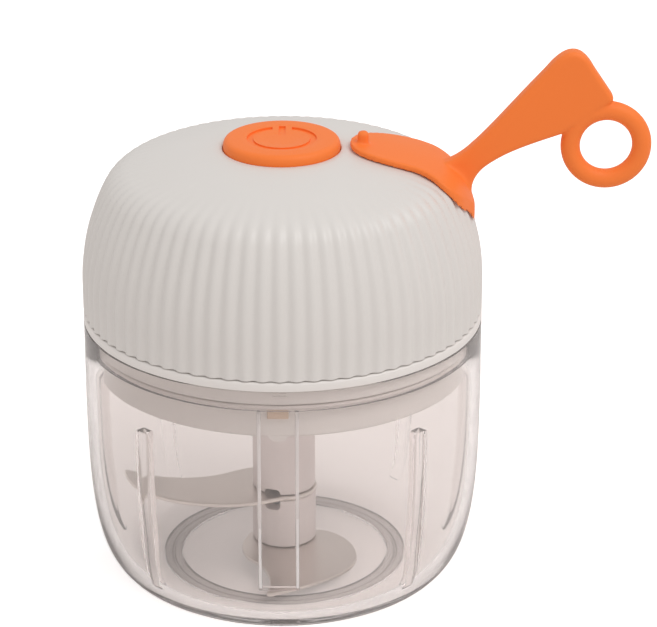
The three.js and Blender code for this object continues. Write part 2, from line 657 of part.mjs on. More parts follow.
// ---------------------------------------------------------------- button
/** The button cap: a shallow cup with a retaining flange, an inner stem and a dished top. */
function buttonCap() {
  const lid = BUTTON.top - 1.9;
  const inside = BUTTON.radius - 1.8;
  const shoulder = BUTTON.bottom + 0.8;
  return turned(
    [
      [0, PLUNGER.top + FINE_GAP],
      [2.2, PLUNGER.top + FINE_GAP],
      [2.2, lid],
      [inside, lid],
      [inside, BUTTON.bottom],
      [BUTTON.flange, BUTTON.bottom],
      [BUTTON.flange, shoulder],
      [BUTTON.radius, shoulder],
      [BUTTON.radius, BUTTON.top - 1.2],
      [BUTTON.radius - 0.4, BUTTON.top - 0.4],
      [BUTTON.radius - 1.4, BUTTON.top],
      [0, BUTTON.top],
    ],
    MID_SIDES,
  );
}

/** A closed tube of few sides along a curve. */
function tube(curve, radius, steps, sides = 6) {
  const section = new THREE.Shape();
  section.absarc(0, 0, radius, 0, 2 * Math.PI, false);
  const options = { extrudePath: curve, steps, curveSegments: sides, bevelEnabled: false };
  return solid(new THREE.ExtrudeGeometry(section, options));
}

/** The return spring: a helix between the board and the cap. */
class Helix extends THREE.Curve {
  getPoint(t) {
    const { radius, turns, bottom, top } = this;
    const angle = 2 * Math.PI * turns * t;
    return new THREE.Vector3(
      radius * Math.cos(angle),
      radius * Math.sin(angle),
      bottom + (top - bottom) * t,
    );
  }
}

const springCurve = Object.assign(new Helix(), { radius: 6.4, turns: 3, bottom: 95.7, top: 102.5 });
add("button_cap", buttonCap(), ORANGE);
add("button_spring", tube(springCurve, 0.4, 30, 5), STEEL);

// ---------------------------------------------------------------- silicone strap
const TAB = { x: [17.2, 18.9], halfWidth: 1.7, top: 106.2 };
const PLUG = { x: [25.5, 30.5], halfWidth: 5.6, bottom: 97.5 };
const LOOP = { x: 72.5, z: 103.3, outer: 10.2, inner: 5.8 };
const ARM_HALF_WIDTH = 2.4;

/** Leaf-shaped plan outline of the silicone where it lies on the dome. */
function leafOutline() {
  const outline = new THREE.Shape();
  outline.moveTo(15.3, 0);
  outline.bezierCurveTo(15.3, -7, 22, -8.3, 29, -8.8);
  outline.bezierCurveTo(33, -9.5, 34, -13, 36.6, -13);
  outline.bezierCurveTo(40.5, -12.5, 41, -8, 42.7, -5.4);
  outline.bezierCurveTo(43.6, -4.2, 43.6, -1, 42.4, 1.5);
  outline.bezierCurveTo(40.5, 6, 37, 11, 31, 12);
  outline.bezierCurveTo(24, 12.5, 15.3, 9, 15.3, 0);
  return outline;
}

/** The silicone sheet that follows the dome, before it is cut into cover and anchor. */
function domeSheet() {
  const sheet = domeFill(GAP + STRAP_THICK).subtract(domeFill(GAP));
  return sheet.intersect(plate(leafOutline(), 80, 110, 6));
}

/** The hinged cover of the charging port, with its pull tab and its plug. */
function portCover() {
  const tab = block(
    [TAB.x[0], -TAB.halfWidth, 102.9],
    [TAB.x[1], TAB.halfWidth, TAB.top],
  );
  const plug = block(
    [PLUG.x[0], -PLUG.halfWidth, PLUG.bottom],
    [PLUG.x[1], PLUG.halfWidth, 101.2],
  );
  return domeSheet().trimByPlane([-1, 0, 0], -COVER_END_X).add(tab).add(plug);
}

/** Side outline of the free arm and its paddle, from its flared root to its blunt end. */
function armOutline() {
  const outline = new THREE.Shape();
  outline.moveTo(37.8, 97.5);
  outline.bezierCurveTo(43.5, 101, 46, 107.4, 58.5, 121);
  outline.quadraticCurveTo(64.9, 129.6, 69.3, 121.3);
  outline.lineTo(74.1, 114.2);
  outline.lineTo(62.7, 106.3);
  outline.bezierCurveTo(55, 103.5, 42.4, 100, 42.6, 92.5);
  outline.lineTo(43.6, 88);
  outline.lineTo(37, 90);
  return outline;
}

/** Half of the arm on one side of a line through the bending point. */
function armSide(direction, degrees) {
  const angle = THREE.MathUtils.degToRad(degrees);
  const normal = [direction * Math.cos(angle), 0, direction * Math.sin(angle)];
  const distance = normal[0] * FLEX.x + normal[2] * FLEX.z;
  return (made) => made.trimByPlane(normal, distance);
}

/** The carrying strap: arm, paddle and finger loop in one moulding. */
function carryStrap() {
  const arm = slab(armOutline(), ARM_HALF_WIDTH);
  const beyondBend = armSide(1, ARM_LEAN)(arm);
  const knuckle = crossBar(FLEX.x, FLEX.z, FLEX.radius, ARM_HALF_WIDTH);
  const loop = new THREE.TorusGeometry((LOOP.outer + LOOP.inner) / 2, 2.2, 10, 28)
    .rotateX(Math.PI / 2)
    .translate(LOOP.x, 0, LOOP.z);
  return union(beyondBend, knuckle, solid(loop));
}

/** The root that holds the strap to the dome: a patch of sheet, a socket and a stud. */
function strapAnchor() {
  const socketRoom = crossBar(FLEX.x, FLEX.z, FLEX.radius + GAP, ARM_HALF_WIDTH + 10);
  const bendRoom = (made) =>
    armSide(-1, ARM_LEAN + BEND_ROOM.down)(armSide(-1, ARM_LEAN - BEND_ROOM.up)(made));
  const root = bendRoom(slab(armOutline(), ARM_HALF_WIDTH)).subtract(domeFill(GAP));
  const lineX = COVER_END_X + GAP;
  const patch = domeSheet().trimByPlane([1, 0, 0], lineX);
  const stud = onStudLine(STUD.shank, -3.6, 1).add(onStudLine(STUD.head, -4.4, -2.6));
  return union(patch, root.trimByPlane([1, 0, 0], lineX), stud).subtract(socketRoom);
}

add("port_cover", portCover(), ORANGE);
add("strap_anchor", strapAnchor(), ORANGE);
add("carry_strap", carryStrap(), ORANGE);

// ---------------------------------------------------------------- wires
/** A wire through a list of points. */
function wire(points) {
  const curve = new THREE.CatmullRomCurve3(points.map((point) => new THREE.Vector3(...point)));
  return tube(curve, 0.6, 8, 5);
}

/** The same route on the other side of the XZ plane. */
const mirrored = (points) => points.map(([x, y, z]) => [x, -y, z]);

const CELL_LEAD = [[-24.5, 25.8, 73], [-25.5, 25, 81], [-21, 20, 88.5], [-13, 13.5, 92.6]];
const PORT_LEAD = [[23.2, 4, 89.5], [22.4, 5, 91], [20.6, 6, 91.6], [19, 6, 92.6]];

add("battery_wire_red", wire(CELL_LEAD), WIRE_RED);
add("battery_wire_black", wire(mirrored(CELL_LEAD)), WIRE_BLACK);
add("charge_wire_red", wire(PORT_LEAD), WIRE_RED);
add("charge_wire_black", wire(mirrored(PORT_LEAD)), WIRE_BLACK);

export default group;
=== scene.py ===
"""Looks of a cordless mini food chopper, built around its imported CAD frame."""

import logging
import math
from dataclasses import dataclass
from enum import Enum
from functools import cache
from typing import Callable, Iterable

import bpy
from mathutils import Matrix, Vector


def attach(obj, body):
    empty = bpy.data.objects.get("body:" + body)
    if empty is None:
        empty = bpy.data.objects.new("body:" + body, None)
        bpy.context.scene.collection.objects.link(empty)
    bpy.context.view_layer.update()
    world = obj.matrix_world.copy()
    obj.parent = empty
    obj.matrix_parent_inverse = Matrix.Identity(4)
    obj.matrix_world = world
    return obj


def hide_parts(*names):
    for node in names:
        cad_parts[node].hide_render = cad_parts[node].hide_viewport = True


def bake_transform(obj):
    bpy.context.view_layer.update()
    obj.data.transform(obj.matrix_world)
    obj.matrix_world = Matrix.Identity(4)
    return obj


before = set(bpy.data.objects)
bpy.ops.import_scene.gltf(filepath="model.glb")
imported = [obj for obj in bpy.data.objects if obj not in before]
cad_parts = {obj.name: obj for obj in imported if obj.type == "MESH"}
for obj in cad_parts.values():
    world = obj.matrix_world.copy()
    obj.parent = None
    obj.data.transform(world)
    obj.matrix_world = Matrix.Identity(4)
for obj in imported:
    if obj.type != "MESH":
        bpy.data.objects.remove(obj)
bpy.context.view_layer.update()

LOG = logging.getLogger("chopper")
MM = 0.001
Point = tuple[float, float]
Colour = tuple[float, float, float]


# --------------------------------------------------------------------------- colours and bodies
class Body(Enum):
    """The moving bodies of the chopper."""

    BOWL = "bowl"
    AGITATOR = "agitator"
    LID = "lid"
    BUTTON = "button"
    COVER = "cover"
    STRAP = "strap"


class Slot(Enum):
    """The record's material slots."""

    CLEAR = "clear_plastic"
    WHITE = "white_plastic"
    HUB = "hub_plastic"
    ORANGE = "orange_silicone"
    SEAL = "seal_silicone"
    BLADE = "blade_steel"
    PIN = "pin_steel"


def linear(red: int, green: int, blue: int) -> Colour:
    """Turn an 8-bit screen colour into linear light.

    Args:
        red: Red, 0 to 255.
        green: Green, 0 to 255.
        blue: Blue, 0 to 255.

    Returns:
        The three linear values.
    """

    def one(value: int) -> float:
        """Linear value of one channel."""
        share = value / 255
        return share / 12.92 if share <= 0.04045 else ((share + 0.055) / 1.055) ** 2.4

    return one(red), one(green), one(blue)


# --------------------------------------------------------------------------- modelling tools
def deselect_all() -> None:
    """Leave edit mode and clear the selection."""
    if bpy.context.object and bpy.context.object.mode != "OBJECT":
        bpy.ops.object.mode_set(mode="OBJECT")
    bpy.ops.object.select_all(action="DESELECT")


def activate(piece: bpy.types.Object) -> None:
    """Make a piece the only selected and the active object."""
    deselect_all()
    piece.select_set(True)
    bpy.context.view_layer.objects.active = piece


def edit(piece: bpy.types.Object, *steps: Callable[[], object]) -> None:
    """Run edit-mode operators on the whole of a piece.

    Args:
        piece: The mesh object to edit.
        steps: Calls that each run one operator.
    """
    activate(piece)
    bpy.ops.object.mode_set(mode="EDIT")
    bpy.ops.mesh.select_all(action="SELECT")
    for step in steps:
        step()
    bpy.ops.object.mode_set(mode="OBJECT")


def settle(piece: bpy.types.Object) -> None:
    """Move a piece's place into its mesh, so that its object sits at the origin."""
    activate(piece)
    bpy.ops.object.transform_apply(location=True, rotation=True, scale=True)


def close_up(piece: bpy.types.Object) -> None:
    """Merge doubled points, drop stray edges and turn all faces outwards."""
    edit(
        piece,
        lambda: bpy.ops.mesh.remove_doubles(threshold=1e-6),
        lambda: bpy.ops.mesh.delete_loose(),
        lambda: bpy.ops.mesh.select_all(action="SELECT"),
        lambda: bpy.ops.mesh.normals_make_consistent(inside=False),
    )


def smooth(piece: bpy.types.Object, degrees: float = 35) -> None:
    """Shade a piece smooth, except across edges sharper than an angle."""
    activate(piece)
    bpy.ops.object.shade_smooth_by_angle(angle=math.radians(degrees))


def modify(piece: bpy.types.Object, kind: str, **settings: object) -> None:
    """Add a modifier with some settings and apply it.

    Args:
        piece: The object to change.
        kind: Blender's name of the modifier's type.
        settings: Values for the modifier's properties.
    """
    activate(piece)
    modifier = piece.modifiers.new(kind.title(), kind)
    for name, value in settings.items():
        setattr(modifier, name, value)
    bpy.ops.object.modifier_apply(modifier=modifier.name)


def combine(piece: bpy.types.Object, other: bpy.types.Object, operation: str) -> None:
    """Join, cut or intersect a piece with another, which is used up.

    Args:
        piece: The object that is kept.
        other: The object that changes it.
        operation: UNION, DIFFERENCE or INTERSECT.
    """
    modify(piece, "BOOLEAN", operation=operation, object=other, solver="MANIFOLD")
    bpy.data.objects.remove(other, do_unlink=True)


def filleted(corners: Iterable[tuple[float, float, float]], steps: int = 4) -> list[Point]:
    """Round the corners of a closed outline.

    Args:
        corners: Radius, height and fillet radius of each corner, in mm.
        steps: Segments of each fillet.

    Returns:
        The outline's points, in mm.
    """
    given = list(corners)
    points: list[Point] = []
    for i, (x, z, radius) in enumerate(given):
        here = Vector((x, z))
        back = Vector(given[i - 1][:2]) - here
        ahead = Vector(given[(i + 1) % len(given)][:2]) - here
        if radius <= 0:
            points.append((x, z))
            continue
        half = back.angle(ahead) / 2
        reach = min(radius / math.tan(half), 0.49 * back.length, 0.49 * ahead.length)
        start = here + back.normalized() * reach
        end = here + ahead.normalized() * reach
        for step in range(steps + 1):
            t = step / steps
            curve = start * (1 - t) ** 2 + here * (2 * t * (1 - t)) + end * t**2
            points.append((curve.x, curve.y))
    return points


def bezier(corners: Iterable[Point], steps: int) -> list[Point]:
    """Points of a cubic Bezier curve from its four corners."""
    a, b, c, d = (Vector(corner) for corner in corners)
    points = []
    for step in range(steps + 1):
        t = step / steps
        s = 1 - t
        place = a * s**3 + b * (3 * s * s * t) + c * (3 * s * t * t) + d * t**3
        points.append((place.x, place.y))
    return points


def chained(start: Point, *stretches: tuple[int, Point, Point, Point]) -> list[Point]:
    """Join Bezier curves, each of which begins where the last one ended.

    Args:
        start: Where the first curve begins.
        stretches: Segments, both handles and end of each curve.

    Returns:
        The points of all the curves, without the start.
    """
    points = [start]
    for steps, *corners in stretches:
        points += bezier([points[-1], *corners], steps)[1:]
    return points[1:]


def ring_of_points(name: str, places: list[Vector]) -> bpy.types.Object:
    """A closed chain of edges through a list of places.

    Args:
        name: The new object's name.
        places: Where its points go, in mm.

    Returns:
        The new object.
    """
    deselect_all()
    bpy.ops.mesh.primitive_circle_add(vertices=len(places), radius=MM)
    piece = bpy.context.object
    piece.name = name
    for vertex, place in zip(piece.data.vertices, places):
        vertex.co = place * MM
    return piece


def turned(name: str, outline: list[Point], steps: int = 128) -> bpy.types.Object:
    """Spin a closed outline of radius and height round the Z axis.

    Args:
        name: The new object's name.
        outline: Radius and height of each point, in mm.
        steps: Segments of the full turn.

    Returns:
        A closed body with its faces outwards.
    """
    piece = ring_of_points(name, [Vector((r, 0, z)) for r, z in outline])
    spin = {"steps": steps, "angle": math.tau, "center": (0, 0, 0), "axis": (0, 0, 1)}
    edit(piece, lambda: bpy.ops.mesh.spin(**spin))
    close_up(piece)
    return piece


def extruded(name: str, places: list[Vector], travel: Vector) -> bpy.types.Object:
    """Fill a closed chain of places and give it a depth.

    Args:
        name: The new object's name.
        places: The outline's places, in mm.
        travel: Direction and length of the depth, in mm.

    Returns:
        A closed prism with its faces outwards.
    """
    piece = ring_of_points(name, places)
    move = {"value": tuple(travel * MM)}
    edit(
        piece,
        lambda: bpy.ops.mesh.edge_face_add(),
        lambda: bpy.ops.mesh.extrude_region_move(TRANSFORM_OT_translate=move),
    )
    close_up(piece)
    return piece


def block(
    name: str,
    low: tuple[float, float, float],
    high: tuple[float, float, float],
    rounding: float = 0,
    turn: float = 0,
) -> bpy.types.Object:
    """A box between two corners, with rounded edges.

    Args:
        name: The new object's name.
        low: Lowest corner, in mm.
        high: Highest corner, in mm.
        rounding: Radius of its edges, in mm.
        turn: Angle it is turned by about the Z axis, in degrees.

    Returns:
        The new object.
    """
    deselect_all()
    middle = [(a + b) / 2 * MM for a, b in zip(low, high)]
    size = [(b - a) * MM for a, b in zip(low, high)]
    bpy.ops.mesh.primitive_cube_add(size=1, location=middle, scale=size)
    piece = bpy.context.object
    piece.name = name
    settle(piece)
    if rounding:
        modify(piece, "BEVEL", width=rounding * MM, segments=3, limit_method="NONE")
    piece.rotation_euler.z = math.radians(turn)
    settle(piece)
    return piece


def rod(name: str, radius: float, bottom: float, top: float, place: Point = (0, 0)) -> bpy.types.Object:
    """An upright round bar at a place, used to drill and to build up other pieces."""
    deselect_all()
    middle = (place[0] * MM, place[1] * MM, (bottom + top) / 2 * MM)
    bpy.ops.mesh.primitive_cylinder_add(
        vertices=48, radius=radius * MM, depth=(top - bottom) * MM, location=middle
    )
    piece = bpy.context.object
    piece.name = name
    settle(piece)
    return piece


# --------------------------------------------------------------------------- shader groups
def feed(node: bpy.types.Node, inputs: dict[str | int, object]) -> None:
    """Set a node's inputs, by name or place, to values or link them to sockets."""
    for name, value in inputs.items():
        if isinstance(value, bpy.types.NodeSocket):
            node.id_data.links.new(value, node.inputs[name])
        else:
            node.inputs[name].default_value = value


def add_node(
    tree: bpy.types.NodeTree, kind: str, inputs: dict[str | int, object], **settings: object
) -> bpy.types.Node:
    """Add a node and feed its inputs.

    Args:
        tree: The node tree that it goes in.
        kind: Blender's name of its type.
        inputs: A value or a socket for each input, by name or place.
        settings: Values for its own properties, which are set before the inputs.

    Returns:
        The new node.
    """
    node = tree.nodes.new(kind)
    for name, value in settings.items():
        setattr(node, name, value)
    feed(node, inputs)
    return node


class Effect:
    """Shader node groups that several finishes share, each built once."""

    fine_scale = 2600
    slow_scale = 45
    noise_low = 0.3
    noise_high = 0.7
    edge_low = 0.53
    edge_high = 0.64
    patch_scale = 260
    line_stretch = (60, 4200, 900)

    @staticmethod
    def start(
        name: str, inputs: dict[str, float], *outputs: str
    ) -> tuple[bpy.types.NodeTree, bpy.types.Node, bpy.types.NodeSocket]:
        """Start a group whose sockets all carry plain numbers.

        Args:
            name: The group's name.
            inputs: Name and usual value of each number that goes in.
            outputs: Name of each result.

        Returns:
            The group, its input node and the place on the object.
        """
        tree = bpy.data.node_groups.new(name, "ShaderNodeTree")
        for socket, value in inputs.items():
            made = tree.interface.new_socket(socket, in_out="INPUT", socket_type="NodeSocketFloat")
            made.default_value = value
        for socket in outputs:
            tree.interface.new_socket(socket, in_out="OUTPUT", socket_type="NodeSocketFloat")
        place = add_node(tree, "ShaderNodeTexCoord", {})
        return tree, tree.nodes.new("NodeGroupInput"), place.outputs["Object"]

    @staticmethod
    @cache
    def grain() -> bpy.types.NodeTree:
        """Fine moulded texture with slow colour drift: gives Shade, Roughness and Height."""
        inputs = {"Scale": 1, "Drift": 0.03, "Low": 0.35, "High": 0.5}
        tree, given, place = Effect.start("moulded grain", inputs, "Shade", "Roughness", "Height")
        inputs = {0: place, "Scale": given.outputs["Scale"]}
        zoomed = add_node(tree, "ShaderNodeVectorMath", inputs, operation="SCALE").outputs[0]
        inputs = {"Scale": Effect.fine_scale, "Detail": 3, "Vector": zoomed}
        fine = add_node(tree, "ShaderNodeTexNoise", inputs).outputs["Fac"]
        inputs = {"Scale": Effect.slow_scale, "Detail": 4, "Vector": zoomed}
        slow = add_node(tree, "ShaderNodeTexNoise", inputs).outputs["Fac"]
        centred = add_node(tree, "ShaderNodeMath", {0: slow, 1: 0.5}, operation="SUBTRACT")
        inputs = {0: centred.outputs[0], 1: given.outputs["Drift"], 2: 1}
        drift = add_node(tree, "ShaderNodeMath", inputs, operation="MULTIPLY_ADD")
        blend = add_node(tree, "ShaderNodeMix", {"Factor": 0.5, "A": fine, "B": slow})
        inputs = {
            "Value": blend.outputs["Result"],
            "From Min": Effect.noise_low,
            "From Max": Effect.noise_high,
            "To Min": given.outputs["Low"],
            "To Max": given.outputs["High"],
        }
        span = add_node(tree, "ShaderNodeMapRange", inputs)
        results = {"Shade": drift.outputs[0], "Roughness": span.outputs["Result"], "Height": fine}
        add_node(tree, "NodeGroupOutput", results)
        return tree

    @staticmethod
    @cache
    def wear() -> bpy.types.NodeTree:
        """Rubbed edges: a mask that is 1 on worn convex edges."""
        tree, given, place = Effect.start("edge wear", {"Amount": 0.3}, "Mask")
        shape = add_node(tree, "ShaderNodeNewGeometry", {})
        inputs = {
            "Value": shape.outputs["Pointiness"], "From Min": Effect.edge_low, "From Max": Effect.edge_high
        }
        mask = add_node(tree, "ShaderNodeMapRange", inputs).outputs["Result"]
        inputs = {"Scale": Effect.patch_scale, "Vector": place}
        patches = add_node(tree, "ShaderNodeTexNoise", inputs).outputs["Fac"]
        for factor in (patches, given.outputs["Amount"]):
            mask = add_node(tree, "ShaderNodeMath", {0: mask, 1: factor}, operation="MULTIPLY").outputs[0]
        add_node(tree, "NodeGroupOutput", {"Mask": mask})
        return tree

    @staticmethod
    @cache
    def strokes() -> bpy.types.NodeTree:
        """Fine parallel lines along X: gives Roughness and Height for brushed metal."""
        inputs = {"Low": 0.2, "High": 0.38}
        tree, given, place = Effect.start("brushed lines", inputs, "Roughness", "Height")
        inputs = {"Scale": Effect.line_stretch, "Vector": place}
        stretch = add_node(tree, "ShaderNodeMapping", inputs)
        inputs = {"Scale": 1, "Detail": 2, "Vector": stretch.outputs["Vector"]}
        lines = add_node(tree, "ShaderNodeTexNoise", inputs).outputs["Fac"]
        inputs = {"Value": lines, "To Min": given.outputs["Low"], "To Max": given.outputs["High"]}
        span = add_node(tree, "ShaderNodeMapRange", inputs)
        add_node(tree, "NodeGroupOutput", {"Roughness": span.outputs["Result"], "Height": lines})
        return tree


# --------------------------------------------------------------------------- finishes
RUBBED_GAIN = 1.25
RUBBED_LIFT = 0.04


def new_material(name: str) -> tuple[bpy.types.NodeTree, bpy.types.Node, bpy.types.Material]:
    """A material with only a Principled shader: its node tree, that shader and itself."""
    material = bpy.data.materials.new(name)
    material.use_nodes = True
    return material.node_tree, material.node_tree.nodes["Principled BSDF"], material


def group_node(tree: bpy.types.NodeTree, group: bpy.types.NodeTree, **values: float) -> bpy.types.Node:
    """Place a node group in a material's tree and set its inputs."""
    return add_node(tree, "ShaderNodeGroup", values, node_tree=group)


def shaded(tree: bpy.types.NodeTree, colour: Colour, group: bpy.types.Node) -> bpy.types.NodeSocket:
    """A colour that gets lighter and darker with the Shade of a node group."""
    inputs = {0: colour, "Scale": group.outputs["Shade"]}
    return add_node(tree, "ShaderNodeVectorMath", inputs, operation="SCALE").outputs[0]


def bumped(tree: bpy.types.NodeTree, group: bpy.types.Node, depth: float) -> bpy.types.NodeSocket:
    """Normals raised by the Height of a node group, to a depth in mm."""
    inputs = {"Strength": 1, "Distance": depth * MM, "Height": group.outputs["Height"]}
    return add_node(tree, "ShaderNodeBump", inputs).outputs["Normal"]


@dataclass(frozen=True)
class Moulded:
    """Opaque moulded plastic or rubber with a fine grain and rubbed edges."""

    name: str
    colour: Colour
    low: float
    high: float
    grain: float = 1.0
    depth: float = 0.004
    drift: float = 0.05
    wear: float = 0.25
    sheen: float = 0.0

    def build(self) -> bpy.types.Material:
        """Make the material."""
        tree, shader, material = new_material(self.name)
        grain = group_node(
            tree, Effect.grain(), Scale=self.grain, Drift=self.drift, Low=self.low, High=self.high
        )
        worn = group_node(tree, Effect.wear(), Amount=self.wear)
        inputs = {
            "Factor": worn.outputs["Mask"],
            "A": shaded(tree, self.colour, grain),
            "B": (*(min(1, c * RUBBED_GAIN + RUBBED_LIFT) for c in self.colour), 1),
        }
        lighter = add_node(tree, "ShaderNodeMix", inputs, data_type="RGBA")
        inputs = {
            "Base Color": lighter.outputs["Result"],
            "Roughness": grain.outputs["Roughness"],
            "Normal": bumped(tree, grain, self.depth),
            "Sheen Weight": self.sheen,
            "Sheen Roughness": 0.4,
        }
        feed(shader, inputs)
        return material


@dataclass(frozen=True)
class ClearPlastic:
    """Clear polished plastic with a slight tint, which casts only a faint shadow."""

    name: str
    colour: Colour
    low: float
    high: float
    index: float = 1.24
    clarity: float = 0.92
    shadow_pass: float = 0.95

    def build(self) -> bpy.types.Material:
        """Make the material."""
        tree, shader, material = new_material(self.name)
        grain = group_node(tree, Effect.grain(), Scale=0.35, Drift=0.03, Low=self.low, High=self.high)
        path = add_node(tree, "ShaderNodeLightPath", {})
        inputs = {0: path.outputs["Is Shadow Ray"], 1: -self.shadow_pass, 2: 1}
        shade = add_node(tree, "ShaderNodeMath", inputs, operation="MULTIPLY_ADD")
        inputs = {
            "Base Color": shaded(tree, self.colour, grain),
            "Roughness": grain.outputs["Roughness"],
            "Transmission Weight": self.clarity,
            "IOR": self.index,
            "Alpha": shade.outputs[0],
        }
        feed(shader, inputs)
        return material


@dataclass(frozen=True)
class Metal:
    """Brushed or turned metal."""

    name: str
    colour: Colour
    low: float
    high: float
    depth: float = 0.003
    brushed: bool = True

    def build(self) -> bpy.types.Material:
        """Make the material."""
        tree, shader, material = new_material(self.name)
        if self.brushed:
            lines = group_node(tree, Effect.strokes(), Low=self.low, High=self.high)
        else:
            lines = group_node(tree, Effect.grain(), Scale=0.6, Drift=0.08, Low=self.low, High=self.high)
        stain = group_node(tree, Effect.grain(), Scale=1.5, Drift=0.12, Low=0, High=1)
        inputs = {
            "Base Color": shaded(tree, self.colour, stain),
            "Roughness": lines.outputs["Roughness"],
            "Normal": bumped(tree, lines, self.depth),
            "Metallic": 1,
        }
        feed(shader, inputs)
        return material


Finish = Moulded | ClearPlastic | Metal

CLEAR_BOWL = ClearPlastic("clear bowl plastic", (0.94, 0.905, 0.892), 0.02, 0.06)
WHITE_SHELL = Moulded("white shell plastic", linear(224, 220, 216), 0.34, 0.46, depth=0.003, wear=0.1)
# Painted light: a lighter copy of the white shell plastic, raised to offset the shade the lid base gets
# inside the bowl.
LID_PLASTIC_PAINTED_LIGHT = Moulded("lid base plastic with painted light", linear(236, 231, 227), 0.34, 0.46, depth=0.003, wear=0.1)
HUB_PLASTIC = Moulded("hub plastic", linear(238, 229, 227), 0.36, 0.5, wear=0.1)
ORANGE_SILICONE = Moulded(
    "orange silicone", linear(255, 128, 46), 0.52, 0.64, grain=1.4, depth=0.005, drift=0.04,
    wear=0.05, sheen=0.04,
)
SEAL_SILICONE = Moulded("pale seal silicone", linear(224, 216, 212), 0.45, 0.6, wear=0.05)
LUG_PLASTIC = Moulded("beige key plastic", linear(222, 196, 172), 0.4, 0.55, wear=0.05)
# Painted highlight: an opaque near-white finish for the strips that stand for the light caught by the
# keyway's clear fins.
FIN_HIGHLIGHT_PAINT = Moulded("painted fin highlight", (0.98, 0.96, 0.955), 0.3, 0.45, depth=0.001, wear=0)
CLEAR_FOOT = ClearPlastic("translucent foot silicone", (0.82, 0.79, 0.78), 0.12, 0.22, 1.42, 0.8)
BLADE_STEEL = Metal("brushed blade steel", (0.74, 0.69, 0.655), 0.22, 0.42)
TURNED_STEEL = Metal("turned steel", (0.56, 0.55, 0.54), 0.2, 0.35, brushed=False)
ZINC = Metal("zinc plated steel", (0.36, 0.36, 0.37), 0.32, 0.5, brushed=False)
BRONZE = Metal("sintered bronze", (0.42, 0.27, 0.12), 0.35, 0.5, brushed=False)
COPPER = Metal("enamelled copper", (0.50, 0.20, 0.09), 0.25, 0.4)
FERRITE = Moulded("sintered ferrite", linear(58, 58, 60), 0.6, 0.8, grain=2)
BLACK_PLASTIC = Moulded("black plastic", linear(42, 42, 44), 0.4, 0.55)
BOARD = Moulded("solder mask", linear(40, 92, 58), 0.3, 0.45, drift=0.15)
CELL_WRAP = Moulded("cell wrap", linear(58, 96, 142), 0.2, 0.32)
RED_WIRE = Moulded("red insulation", linear(170, 46, 38), 0.4, 0.5)
BLACK_WIRE = Moulded("black insulation", linear(36, 36, 38), 0.4, 0.5)


def dress(piece: bpy.types.Object, material: bpy.types.Material) -> None:
    """Give a piece one material."""
    piece.data.materials.clear()
    piece.data.materials.append(material)


@cache
def material_of(finish: Finish) -> bpy.types.Material:
    """The material of a finish, built when it is first asked for."""
    return finish.build()


def finish_piece(
    piece: bpy.types.Object, finish: Finish, slot: Slot, body: Body | None, *nodes: str
) -> bpy.types.Object:
    """Dress a finished piece and place it on its body.

    Args:
        piece: The piece.
        finish: Its finish.
        slot: The record's slot that it belongs to; not used.
        body: The body that it rides on, or None when it bends between two.
        nodes: The CAD nodes that it stands for.

    Returns:
        The same piece.
    """
    dress(piece, material_of(finish))
    if body is not None:
        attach(piece, body.value)
    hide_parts(*nodes)
    LOG.info("%s: %d faces, stands for %s", piece.name, len(piece.data.polygons), ", ".join(nodes))
    return piece


def paint_where(
    piece: bpy.types.Object, finish: Finish, chosen: Callable[[Vector], bool]
) -> bpy.types.Object:
    """Give some faces of a dressed piece a second finish.

    Args:
        piece: The piece.
        finish: The second finish.
        chosen: Tells from a face's centre, in mm, whether the face gets it.

    Returns:
        The same piece.
    """
    piece.data.materials.append(material_of(finish))
    for polygon in piece.data.polygons:
        if chosen(polygon.center / MM):
            polygon.material_index = len(piece.data.materials) - 1
    return piece


# --------------------------------------------------------------------------- bowl
BODY_RADIUS = 45.57
RIM_TOP = 62.7
LEDGE = 57.9
EDGE_RADIUS = BODY_RADIUS - 0.07
KEYWAY_X = -0.5


